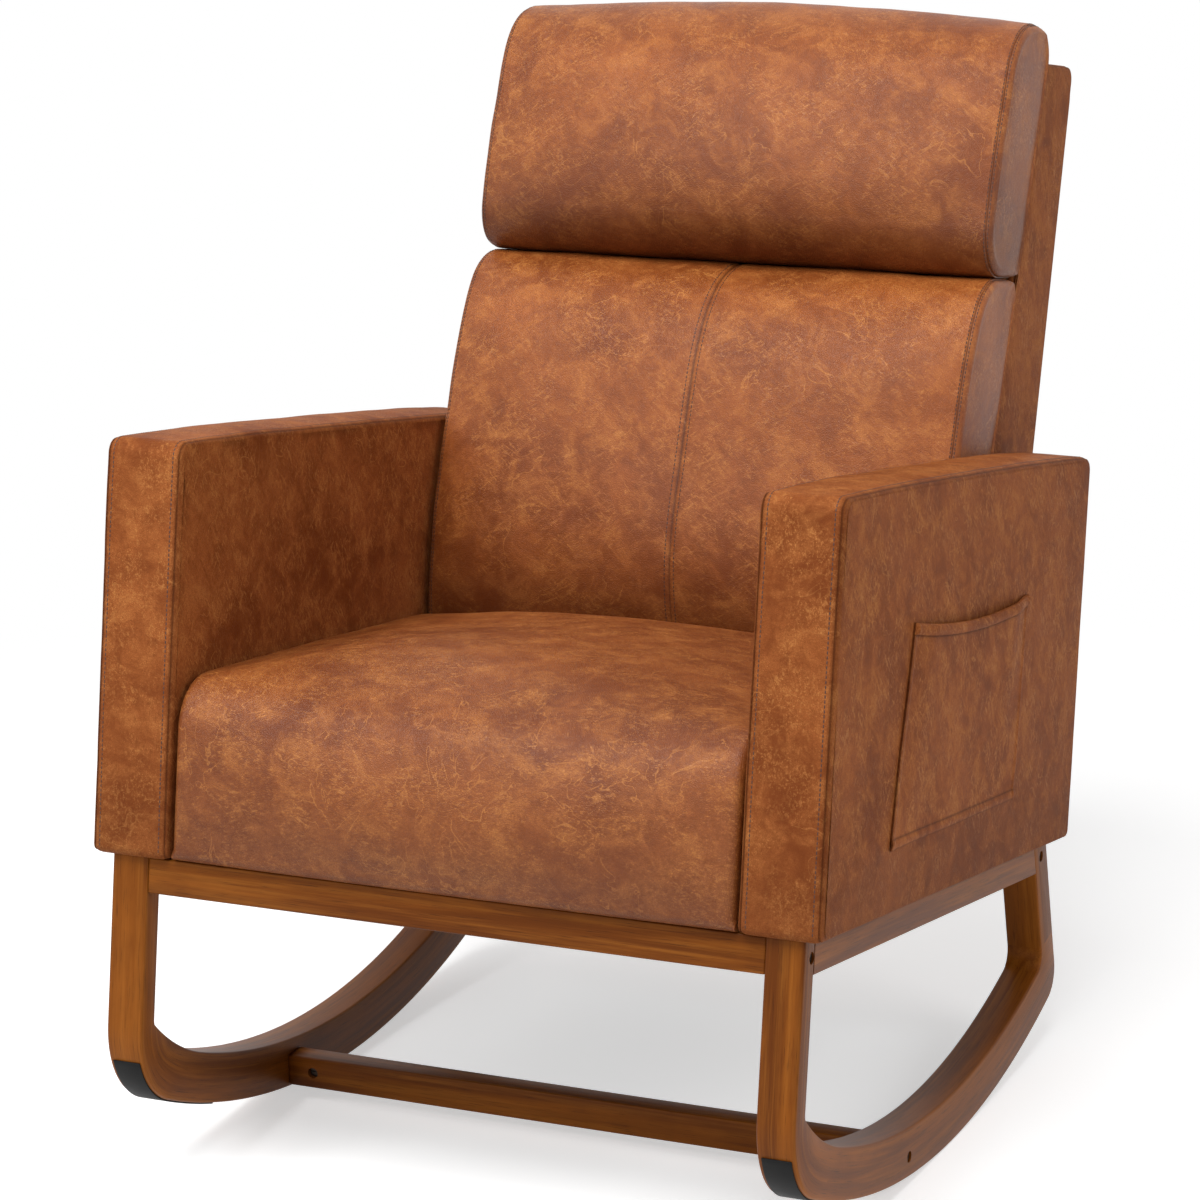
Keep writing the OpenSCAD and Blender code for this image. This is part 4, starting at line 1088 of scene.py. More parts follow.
@dataclass
class Base:
    """Two closed side frames with curved runners, joined by rails and a stretcher."""

    palette: Palette
    leg_front: float = 8.5
    leg_back: float = 32.5
    leg_joint: float = 128.0
    rail_h: float = 32.0
    rail_d: float = 34.0
    runner_r: float = 871.0
    runner_t: float = 46.0
    runner_mid: float = 296.0
    runner_drop: float = 259.0
    toe_r: float = 78.0
    hollow_r: float = 240.0
    hollow_turn: float = 11.8
    heel_w: float = 36.0
    heel_slope: float = 22.4
    heel_y: float = 654.0
    heel_r: float = 27.0
    heel_in_r: float = 18.0
    heel_joint: float = 103.0
    pad_t: float = 1.6
    pad_end: float = 153.0
    pad_turn: float = 25.0
    eased: float = 2.4
    bolt_holes: tuple = ((25.5, -16.0), (641.126, -16.0), (303.0, -240.0))

    def __post_init__(self) -> None:
        """Finds the centres of the curves, as the frame does."""
        slope = math.radians(self.heel_slope)
        self.arc_c = np.array([self.runner_mid, self.runner_r - self.runner_drop])
        self.inner_r = self.runner_r - self.runner_t
        self.heel_d = np.array([math.sin(slope), -math.cos(slope)])
        self.heel_n = np.array([math.cos(slope), math.sin(slope)])
        self.heel_p = np.array([self.heel_y, 0.0])
        self.heel_q = self.heel_p - self.heel_w * self.heel_n
        self.heel_foot = self.heel_p + self.heel_joint * self.heel_d
        down, front = np.array([0.0, -1.0]), np.array([-1.0, 0.0])
        self.toe_c = self.touch(np.array([self.leg_front, 0.0]), down, front, self.toe_r, self.runner_r)
        self.heel_c = self.touch(self.heel_p, self.heel_d, self.heel_n, self.heel_r, self.runner_r)
        self.heel_in_c = self.touch(self.heel_q, self.heel_d, self.heel_n, self.heel_in_r, self.inner_r)
        turn = math.radians(self.hollow_turn)
        way = np.array([math.sin(turn), math.cos(turn)])
        self.hollow_c = self.arc_c - (self.inner_r - self.hollow_r) * way

    def touch(self, p: np.ndarray, d: np.ndarray, n: np.ndarray, r: float, big: float) -> np.ndarray:
        """Centre of the circle that touches a line and the runner's curve from the inside."""
        w = p - r * n - self.arc_c
        b = w @ d
        return p - r * n + (math.sqrt(b * b - (w @ w - (big - r) ** 2)) - b) * d

    def heel_inner(self, down: float) -> float:
        """Y of the rear leg's inner line at a depth below the arms."""
        slope = math.radians(self.heel_slope)
        return self.heel_y - self.heel_w / math.cos(slope) + down * math.tan(slope)

    def runner_pairs(self) -> list[tuple]:
        """Cross-sections of a runner from the front leg's joint, round the toe, to the rear leg's."""
        toe = bearing(self.toe_c - self.arc_c) + 360
        heel = bearing(self.heel_c - self.arc_c) + 360
        heel_in = bearing(self.heel_in_c - self.arc_c) + 360
        out = 360 + self.heel_slope
        hollow = 270 - self.hollow_turn
        corner = 180 + math.degrees(math.acos((self.hollow_c[0] - self.leg_back) / self.hollow_r))
        joint, foot = -self.leg_joint, self.heel_foot
        inner_foot = foot - self.heel_w * self.heel_n
        pairs = even_pairs(
            [(self.leg_front, joint)] + arc(self.toe_c, self.toe_r, 180, toe, 3),
            [(self.leg_back, joint)] + arc(self.hollow_c, self.hollow_r, corner, hollow, 2), 36)
        pairs += even_pairs(
            arc(self.arc_c, self.runner_r, toe, heel, 0.5),
            arc(self.arc_c, self.inner_r, hollow, heel_in, 0.5), 90)[1:]
        pairs += even_pairs(
            arc(self.heel_c, self.heel_r, heel, out, 5) + [tuple(foot)],
            arc(self.heel_in_c, self.heel_in_r, heel_in, out, 5) + [tuple(inner_foot)], 18)[1:]
        return pairs

    def grain(self, obj: Object, origin: Point, along: Point) -> None:
        """Writes where each point lies along, across and through the wood.

        Args:
            obj: the piece.
            origin: where the grain starts, in millimetres.
            along: direction of the grain.
        """
        way = np.array(along, float) / np.linalg.norm(along)
        across = np.cross(way, (1, 0, 0) if abs(way[0]) < 0.9 else (0, 1, 0))
        across /= np.linalg.norm(across)
        through = np.cross(way, across)
        off = points_of(obj) - np.array(origin) * MM
        shift = 0.37 * len(Chair.made)
        self.write_grain(obj, np.column_stack([off @ way, off @ across, off @ through]), shift)

    def bent_grain(self, obj: Object, side: Side) -> None:
        """Writes a grain that follows a front leg, the toe and the runner in one line."""
        inset = (self.leg_back - self.leg_front) / 2
        toe = bearing(self.toe_c - self.arc_c) + 360
        line = [(self.leg_front + inset, 5.0)] + arc(self.toe_c, self.toe_r - inset, 180, toe, 4)
        line = np.array(line + arc(self.arc_c, self.runner_r - inset, toe, 306, 1)[1:])
        first, step = line[:-1], np.diff(line, axis=0)
        length = np.linalg.norm(step, axis=1)
        run = run_of(line)
        points = points_of(obj) / MM
        off = points[:, None, 1:] - first[None]
        share = np.clip(np.sum(off * step, axis=2) / length ** 2, 0, 1)
        gap = off - share[:, :, None] * step
        far = np.linalg.norm(gap, axis=2)
        at = np.argmin(far, axis=1)
        row = np.arange(len(points))
        near, way = gap[row, at], step[at]
        across = np.sign(way[:, 0] * near[:, 1] - way[:, 1] * near[:, 0]) * far[row, at]
        along = run[at] + share[row, at] * length[at]
        self.write_grain(obj, np.column_stack([along, across, points[:, 0]]) * MM, side.value * 1.3)

    def write_grain(self, obj: Object, values: np.ndarray, shift: float) -> None:
        """Stores the grain attribute that the stained wood reads."""
        layer = obj.data.attributes.new("grain", "FLOAT_VECTOR", "POINT")
        layer.data.foreach_set("vector", (values + shift).astype(np.float32).ravel())

    def across_holes(self, side: Side, spots: Sequence[Point]) -> list:
        """Bolt holes through a side frame, each with its sunk head."""
        bolt, head, sunk, past = 6.2, 10.6, 8, 2
        holes = []
        for y, z in spots:
            out = (side.value * (Chair.SIDE_OUT + past), y, z)
            holes.append(((side.value * (Chair.SIDE_IN - past), y, z), out, bolt))
            holes.append(((side.value * (Chair.SIDE_OUT - sunk), y, z), out, head))
        return holes

    def member(self, side: Side, name: str, pairs: Sequence[tuple], spots: Sequence[Point]) -> Object:
        """One straight or curved member of a side frame, with its bolt holes."""
        x0, x1 = sorted((side.value * Chair.SIDE_IN, side.value * Chair.SIDE_OUT))
        obj = bent_board(f"{name}_{side.word}_dressed", pairs, x0, x1, self.eased)
        bore(obj, self.across_holes(side, spots))
        return obj

    def build(self) -> None:
        """Builds and places every wooden member and the pads."""
        low, rear = -self.rail_h, self.heel_inner(self.rail_h)
        foot, joint = self.heel_foot, -self.leg_joint
        front_leg = [((self.leg_front, z), (self.leg_back, z)) for z in (0, joint)]
        rear_leg = [(self.heel_p, (self.heel_inner(0), 0)), (foot, foot - self.heel_w * self.heel_n)]
        side_rail = [((self.leg_back, 0), (self.leg_back, low)), ((self.heel_inner(0), 0), (rear, low))]
        for side in Side:
            mid = side.value * (Chair.SIDE_IN + Chair.SIDE_OUT) / 2
            for name, pairs, holes in (("front_leg", front_leg, self.bolt_holes[:1]),
                                       ("runner", self.runner_pairs(), self.bolt_holes[2:])):
                bent = self.member(side, name, pairs, holes)
                self.bent_grain(bent, side)
                self.stain(bent, f"{name}_{side.word}")
            heel = self.member(side, "rear_leg", rear_leg, self.bolt_holes[1:2])
            self.grain(heel, (mid, *self.heel_p), (0, *self.heel_d))
            self.stain(heel, f"rear_leg_{side.word}")
            rail = self.member(side, "side_rail", side_rail, [])
            bore(rail, self.rising_holes([(mid, y) for y in Chair.ARM_BOLTS]))
            self.grain(rail, (mid, 0, 0), (0, 1, 0))
            self.stain(rail, f"side_rail_{side.word}")
        self.cross_members()
        self.pads()

    def stain(self, obj: Object, node: str) -> None:
        """Places a wooden member in place of its node."""
        Chair.place(obj, self.palette.stained, "stained_wood", [node])

    def rising_holes(self, spots: Sequence[Point]) -> list:
        """Holes from below, each with its sunk head, for the bolts that carry the seat and the arms."""
        low, bolt, head, sunk, past = -self.rail_h, 8.2, 13.4, 8, 2
        holes = []
        for x, y in spots:
            holes.append(((x, y, low - past), (x, y, past), bolt))
            holes.append(((x, y, low - past), (x, y, low + sunk), head))
        return holes

    def cross_members(self) -> None:
        """Builds the front rail, the rear rail and the turned-up stretcher."""
        reach, seat_bolt, wheel_bolt, turn = Chair.SIDE_IN, 170.0, 265, math.radians(10)
        front = self.leg_front + 1.5
        rear = self.bolt_holes[1][0] - self.rail_d / 2
        for name, y0, bolt_y in (("front_rail", front, 29.0), ("rear_rail", rear, 641.126)):
            y1 = y0 + self.rail_d
            rail = board(f"{name}_dressed", [(y0, 0), (y0, -self.rail_h), (y1, -self.rail_h), (y1, 0)],
                         -reach, reach, self.eased * 0.7)
            bore(rail, self.rising_holes([(-seat_bolt, bolt_y), (seat_bolt, bolt_y)]))
            self.grain(rail, (0, y0, 0), (1, 0, 0))
            self.stain(rail, name)
        y, z = self.bolt_holes[2]
        bar = board("stretcher_dressed", [(-12, 15), (-12, -15), (12, -15), (12, 15)], -reach, reach, 1.8)
        bore(bar, [((s * wheel_bolt, -20, 0), (s * wheel_bolt, 7, 0), 10.4) for s in (-1, 1)])
        self.grain(bar, (0, 0, 0), (1, 0, 0))
        bar.data.transform(Matrix.Translation((0, y * MM, z * MM)) @ Matrix.Rotation(turn, 4, "X"))
        self.stain(bar, "stretcher")

    def pads(self) -> None:
        """Rubber strips round the front of both runners, as one piece."""
        toe = bearing(self.toe_c - self.arc_c) + 360
        last = 270 - math.degrees(math.asin((self.arc_c[0] - self.pad_end) / self.runner_r))
        first = 180 + self.pad_turn
        gap = 0.1
        outer, inner = (
            arc(self.toe_c, self.toe_r + off, first, toe, 4)
            + arc(self.arc_c, self.runner_r + off, toe, last, 0.5)[1:] for off in (self.pad_t, gap))
        for side in Side:
            x0, x1 = sorted((side.value * (Chair.SIDE_IN + 4), side.value * (Chair.SIDE_OUT - 4)))
            pad = board(f"runner_pad_{side.word}", outer + inner[::-1], x0, x1, 0.5, 2)
            Chair.place(pad, self.palette.rubber, "black_rubber", ["runner_pads"])


# ---------------------------------------------------------------------------
# Arms


@dataclass
class Arms:
    """Two padded arms: smooth side panels sewn to one strip over the front and the top."""

    palette: Palette
    sewing: Sewing
    depth: float = 672.0
    height: float = 366.5
    low: float = 0.3
    top_r: float = 14.0
    low_r: float = 8.0
    crown: float = 3.5
    lift: float = 3.0
    puff_in: float = 0.8
    puff_out: float = 3.5
    proud: float = 3.0
    row_in: float = 8.0
    wall: float = 9.0

    def stations(self, side: Side) -> tuple[list[Point], list[float]]:
        """Stations across an arm, from side panel to side panel, and how dark the painted shade in each
        seam's crease is.
        """
        outer = Chair.HALF + self.proud
        half = (outer - Chair.ARM_IN) / 2
        mid = side.value * (outer + Chair.ARM_IN) / 2

        def crown(x: float) -> float:
            """Share of the strip's crown at an offset from its middle."""
            return 1 - (abs(x) / half) ** 2

        panel = [(s, 1 - s ** 3) for s in (0.0, 0.15, 0.3, 0.45, 0.58, 0.7, 0.8, 0.88, 0.94, 0.98)]
        # Each edge station: offset in from the side, inset and darkness of the painted shade in the seam's
        # crease.
        edge = [(0.0, 12.0, 0.0), (0.25, 6.0, 0.0), (0.8, 3.0, 0.2), (1.6, 1.7, 0.5), (2.5, 1.3, 1.0),
                (3.3, 1.7, 1.0), (4.2, 0.8, 0.4), (6.0, 0.15, 0.0), (9.0, -0.2, 0.0)]
        strip = [12.0 - half, 18.0 - half, -9.0, 0.0, 9.0, half - 18, half - 12]
        low, high = (self.puff_in, self.puff_out)[::side.value]
        rim = [(x - half, inset, crown(x - half), 1.0) for x, inset, _ in edge]
        left = [(-half - low * out, 0.0, 0.0, s) for s, out in panel] + rim
        right = [(half + high * out, 0.0, 0.0, s) for s, out in panel]
        right += [(-x, i, c, sc) for x, i, c, sc in rim]
        dark = [0.0] * len(panel) + [seam for _, _, seam in edge]
        middle = [(x, -0.2, crown(x), 1.0) for x in strip]
        stations = [(mid + x, i, c, sc) for x, i, c, sc in left + middle + right[::-1]]
        return stations, dark + [0.0] * len(strip) + dark[::-1]

    def outline(self) -> np.ndarray:
        """Side view of an arm."""
        return rounded(
            [(0, self.low, self.low_r), (self.depth, self.low, self.low_r),
             (self.depth, self.height, self.top_r), (0, self.height, self.top_r)],
            [Edge(40), Edge(22, 0, 1.0, bowed), Edge(40, self.lift, self.crown, bowed),
             Edge(22, 1, 2.0, bowed)], 7)

    def build(self) -> Surface:
        """Builds both arms with their stitches, and gives the right arm's surface."""
        for side in (Side.LEFT, Side.RIGHT):
            centre = (self.depth / 2, (self.height + self.low) / 2)
            stations, dark = self.stations(side)
            outline = blended(self.outline(), 12.0)
            arm = wrap(f"arm_{side.word}_dressed", carry(outline, stations, centre), marks={"seam": dark})
            uneven(arm, 0.7, 70.0, side.value * 5.0)
            # Painted shade under the arm and along its foot.
            paint_under_shade(arm, 0.0, 0.4)
            surface = Surface(arm)
            self.hollow(arm, side)
            inner, outer = Chair.ARM_IN + self.row_in, Chair.HALF + self.proud - self.row_in
            rows = [self.row(side.value * x) for x in (inner, outer)]
            Chair.place(arm, self.palette.side, "leather", [f"arm_cover_{side.word}"])
            self.sewing.row(f"arm_{side.word}_stitches", surface, rows, "leather")
        return surface

    def hollow(self, arm: Object, side: Side) -> None:
        """Makes room for the wooden frame inside an arm and for the two bolts that hold it."""
        w = self.wall
        x0, x1 = sorted((side.value * (Chair.ARM_IN + w), side.value * (Chair.HALF - w)))
        low, high, rear = self.low + w, self.height - w, self.depth - w
        room = board("room", [(w, low), (rear, low), (rear, high), (w, high)], x0, x1, 1.0, 1)
        cut_away(arm, room)
        mid = side.value * (Chair.SIDE_IN + Chair.SIDE_OUT) / 2
        bore(arm, [((mid, y, self.low - 3), (mid, y, low + 3), 9.0) for y in Chair.ARM_BOLTS])

    def row(self, x: float) -> list[Point]:
        """Path of a row of stitches up the front and along the top of an arm."""
        r, h = self.top_r, self.height
        path = [(x, -1.0, 6.0), (x, -1.0, h - r)]
        path += [(x, y, z) for y, z in arc((r, h - r), r + 1.0, 180, 90, 15)]
        path += [(x, self.depth - r, h + 1.0)]
        return path


# ---------------------------------------------------------------------------
# Seat and back


@dataclass
class Seat:
    """Tight seat whose cover runs over its front."""

    palette: Palette
    half: float = 265.0
    foam_z: float = 73.9
    front_h: float = 163.0
    back_h: float = 180.0
    lumbar_foot: float = 476.0
    tail: float = 491.0
    crown: float = 24.0
    belly: float = 12.0
    edge_r: float = 46.0
    side_r: float = 9.0

    def build(self) -> None:
        """Builds the seat cushion."""
        outline = blended(rounded(
            [(1, 1, 9), (15, 1, 2), (15, self.foam_z, 2), (self.lumbar_foot - 4, self.foam_z, 4),
             (self.tail, self.back_h, 15), (0, self.front_h, self.edge_r)],
            [Edge(), Edge(4), Edge(24), Edge(4), Edge(44, 0, self.crown, held),
             Edge(18, 1, self.belly, bowed)], 8), 14.0)
        r = self.side_r
        flat = self.half - r
        side = [(-flat - r * math.cos(a), r * (1 - math.sin(a))) for a in np.radians(range(0, 91, 15))]
        across = side + [(float(x), 0.0) for x in np.linspace(-flat, flat, 71)[1:-1]]
        across += [(-x, inset) for x, inset in reversed(side)]
        drawn = np.clip(outline[:, 3] - outline[:, 2], 0, 1)
        rings = []
        for x, inset in across:
            out = outline[:, 4] + outline[:, 5] * crowned(x, self.half) - inset * drawn
            flat_ring = outline[:, :2] + outline[:, 2:4] * out[:, None]
            rings.append(np.column_stack([np.full(len(out), x), flat_ring]))
        seat = wrap("seat_cushion_dressed", np.array(rings), marks={"seam": np.zeros(len(rings))})
        close_ends(seat)
        Stuffing(cap=5.0).swell(seat, self.held)
        uneven(seat, 1.3, 95.0, 2.0)
        # Painted shade under the seat and along its foot.
        paint_under_shade(seat, 0.0, 0.5)
        Chair.place(seat, self.palette.seat, "leather", ["seat_cushion"])

    def held(self, points: np.ndarray) -> np.ndarray:
        """How firmly each spot of the cover is held: along its sides, its underside and its tail."""
        x, y, z = points.T
        firm = [1 - (self.half - np.abs(x)) / 16, 1 - (z - 4) / 14, 1 - (self.lumbar_foot - 2 - y) / 16,
                1 - np.maximum(z - self.foam_z - 3, 16 - y) / 14]
        return np.clip(np.max(firm, axis=0), 0, 1)


@dataclass
class Back:
    """High back: an upholstered shell that carries a lumbar cushion and a head cushion."""

    palette: Palette
    sewing: Sewing
    half: float = 264.0
    shell_half: float = 262.0
    line_y: float = 519.5
    rise: float = math.tan(math.radians(14.7))
    rear_y: float = 691.0
    rear_rise: float = math.tan(math.radians(8.4))
    top: float = 737.0
    low: float = 3.0
    crease: float = 532.0
    gap: float = 2.1
    lumbar_foot: float = 476.0
    lumbar_head: float = 576.0
    foam_z: float = 73.9
    edge: float = 8.0
    ahead: float = 1.2
    wall: float = 4.0
    flange: float = 8.8

    def front_line(self, z: float) -> float:
        """Y of the shell's front at a height."""
        return self.line_y + self.rise * z

    def rear_line(self, z: float) -> float:
        """Y of the shell's rear at a height."""
        return self.rear_y + self.rear_rise * z

    def stations(self, seam: float) -> tuple[list[Point], list[float]]:
        """Stations across a back cushion, and how dark the painted shade in its seam creases is.

        Args:
            seam: how deep a seam draws its middle in, or 0 where it has none.

        Returns:
            The stations for carry() and the darkness of the painted shade at each.
        """
        h, r = self.half, self.edge
        scales = (0.0, 0.2, 0.4, 0.58, 0.72, 0.83, 0.91, 0.96)
        side = [(-h - 1.5 * (1 - s ** 3) + 1.5, r, 0.0, s) for s in scales]
        dark = [0.0] * len(side)
        cross = []
        for k in range(13):
            turn = math.radians(90 * k / 12)
            dip = 1.2 * math.exp(-((k - 9.0) / 0.8) ** 2)
            cross.append((-h + r - (r - dip) * math.cos(turn), r - (r - dip) * math.sin(turn)))
            # Painted shade in the crease of the side seam.
            dark.append(0.9 * math.exp(-((k - 9.0) / 0.7) ** 2))
        gentle = [float(x) for x in np.linspace(-h + r, -12.0, 36)[1:]]
        cross += [(x, 0.0) for x in gentle]
        draw = [(-6.0, 0.0)]
        if seam:
            draw = [(-9.0, 0.04), (-6.0, 0.14), (-4.0, 0.34), (-2.4, 0.62), (-1.2, 0.88)]
        cross += [(x, seam * share) for x, share in draw]
        # Painted shade along the drawn-in middle seam.
        dark += [0.0] * len(gentle) + [0.5 * float(share > 0.8) for _, share in draw]
        full = cross + [(0.0, seam)] + [(-x, i) for x, i in reversed(cross)]
        middle = [(x, i, crowned(x, h), 1.0) for x, i in full]
        dark += [float(seam > 0)] + dark[::-1]
        return side + middle + [(-x, i, c, s) for x, i, c, s in reversed(side)], dark

    def held(self, low: float, high: float, middle: float) -> Callable[[np.ndarray], np.ndarray]:
        """How firmly each spot of a cushion's cover is held: behind, at its sides and at its ends.

        Args:
            low: height of its foot.
            high: height of its head.
            middle: half the width held along the middle seam, or 0.

        Returns:
            A function of an array of points in millimetres.
        """
        def firm(points: np.ndarray) -> np.ndarray:
            """Firmness of each point, from 0 to 1."""
            x, y, z = points.T
            parts = [1 - (self.front_line(z) - self.gap - y) / 34, 1 - (self.half - np.abs(x)) / 22,
                     1 - np.minimum(z - low, high - z) / 20]
            if middle:
                parts.append(1 - np.abs(x) / middle)
            return np.clip(np.max(parts, axis=0), 0, 1)
        return firm

    def cushion(self, name: str, outline: np.ndarray, seam: float, centre: Point,
                ends: tuple[float, float], fill: float, seed: float, dark: float) -> Surface:
        """Builds, stuffs and places one back cushion.

        Args:
            name: the cushion's node.
            outline: its side view.
            seam: how deep its middle seam is drawn in, or 0.
            centre: the middle of its side panels in Y and Z.
            ends: heights of its foot and its head.
            seed: where in the noise its swells start.
            dark: height from which its painted shade at the foot fades.

        Returns:
            The surface to sew on.
        """
        stations, marks = self.stations(seam)
        obj = wrap(f"{name}_dressed", carry(outline, stations, centre, 0.0), marks={"seam": marks})
        Stuffing().swell(obj, self.held(*ends, 16.0 if seam else 0.0))
        uneven(obj, 1.5, 90.0, seed)
        # Painted shade under the cushion and fading up from its foot.
        paint_under_shade(obj, dark, 0.62)
        surface = Surface(obj)
        Chair.place(obj, self.palette.cushion, "back_leather", [name])
        return surface

    def filled(self, outline: np.ndarray, shape: Callable[[float], float], bulge: float, crown: float,
               rise: float = 0.0) -> np.ndarray:
        """Adds how far a cushion's front stands forward and its head up, with no dent at its corners.

        Args:
            outline: rows from rounded().
            shape: how the front follows from its head, 0, to its foot, 1.
            bulge: how far it stands forward all the way across, in millimetres.
            crown: how much further it stands forward in the middle of the chair.
            rise: how far its head stands up in the middle of the chair.

        Returns:
            The rows with three more numbers: forward all across, forward in the middle and up.
        """
        y, z = outline[:, :2].T
        high = z.max()
        drop = (high - z) / (high - z.min())
        ahead = np.array([shape(t) for t in drop]) * np.clip((self.front_line(z) - y) / 60, 0, 1)
        up = rise * np.clip(1 - drop / 0.5, 0, 1) ** 2
        return np.column_stack([outline, ahead * bulge, ahead * crown, up])

    def build(self) -> None:
        """Builds the shell and both cushions."""
        gap, foot, crease, peak = self.gap, self.foam_z + 2, self.crease, 766
        lumbar = self.filled(blended(rounded(
            [(self.lumbar_foot, foot, 18), (self.front_line(foot) - gap, foot, 18),
             (self.front_line(crease) - gap, crease - 0.3, 18), (self.lumbar_head, crease - 0.3, 30)],
            [Edge(3), Edge(24), Edge(3), Edge(64)], 10), 16.0), tucked, 42, 18)
        sides = [s * x for s in (-1, 1) for x in (self.half - 6.8, self.half - 3.0)]
        surface = self.cushion("lumbar_cushion", lumbar, 1.7, (560, 310), (self.foam_z, crease),
                               0.8, 7.0, 175.0)
        rows = [self.front_path(lumbar, x, 120.0) for x in [-4.6, 4.6] + sides]
        self.sewing.row("lumbar_stitches", surface, rows, "back_leather")
        head = self.filled(blended(rounded(
            [(561, crease + 0.3, 38), (self.front_line(crease) - gap, crease + 0.3, 18),
             (self.front_line(peak) - gap, peak, 30), (619.0, 777, 60)],
            [Edge(4), Edge(16), Edge(12, 3, 3, bowed), Edge(44)], 12), 14.0), rolled, 9, 30, 11)
        surface = self.cushion("head_cushion", head, 0.0, (640, 655), (crease, 800.0), 0.9, 11.0, 540.0)
        rows = [self.front_path(head, x, 520.0) for x in sides]
        self.sewing.row("head_stitches", surface, rows, "back_leather")
        self.shell()

    def front_path(self, outline: np.ndarray, x: float, low: float) -> list[Point]:
        """Path over the front of a cushion at one place across, from the top down."""
        points = lifted(outline, crowned(x, self.half))
        path = [(x, y, z) for (y, z), (out_y, out_z) in zip(points, outline[:, 2:4])
                if z > low and out_y < 0.15 and out_z > -0.9]
        return sorted(path, key=lambda p: -p[2])

    def shell(self) -> None:
        """Outer upholstery of the back: side panels sewn to a strip over the top and down the rear."""
        low, top, ahead = self.low, self.top, self.ahead
        outline = rounded(
            [(self.front_line(low) - ahead, low, 2), (self.rear_line(low), low, 6),
             (self.rear_line(top), top, 14), (self.front_line(top) - ahead, top, 3)],
            [Edge(6), Edge(40, 0, 6, bowed), Edge(6, 0, 1.5, bowed), Edge(30)], 6)
        h = self.shell_half
        panel = [(s, 1.2 * (1 - s ** 3)) for s in (0.0, 0.3, 0.55, 0.75, 0.88, 0.95)]
        # Each edge station: offset in from the side, inset and darkness of the painted shade in the seam's
        # crease.
        edge = [(0.0, 9.0, 0.0), (0.3, 4.5, 0.0), (1.0, 2.2, 0.3), (2.0, 1.3, 1.0), (3.0, 1.6, 1.0),
                (4.0, 0.7, 0.3), (6.0, 0.1, 0.0), (10.0, 0.0, 0.0)]
        left = [(-h - puff, 0.0, 0.0, s) for s, puff in panel]
        left += [(-h + x, i, crowned(-h + x, h), 1.0) for x, i, _ in edge]
        dark = [0.0] * len(panel) + [seam for _, _, seam in edge]
        middle = [(float(x), 0.0, crowned(x, h), 1.0) for x in np.linspace(-h + 20, h - 20, 41)]
        stations = left + middle + [(-x, i, c, s) for x, i, c, s in reversed(left)]
        shell = wrap("back_shell_dressed", carry(outline, stations, (650, 370)),
                     marks={"seam": dark + [0.0] * len(middle) + dark[::-1]})
        w, foot, head = self.wall, low - 40, top - self.wall
        for start, side_wall in ((-0.2, w), (-60.0, self.flange)):
            room = board("room", [(self.front_line(foot) + start, foot), (self.rear_line(foot) - w, foot),
                                  (self.rear_line(head) - w, head), (self.front_line(head) + start, head)],
                         -h + side_wall, h - side_wall, 0.5, 1)
            cut_away(shell, room)
        Chair.place(shell, self.palette.back, "back_leather", [
            "back_rear_panel", "back_top_panel", "back_side_panel_right", "back_side_panel_left"])


# ---------------------------------------------------------------------------
# Pocket


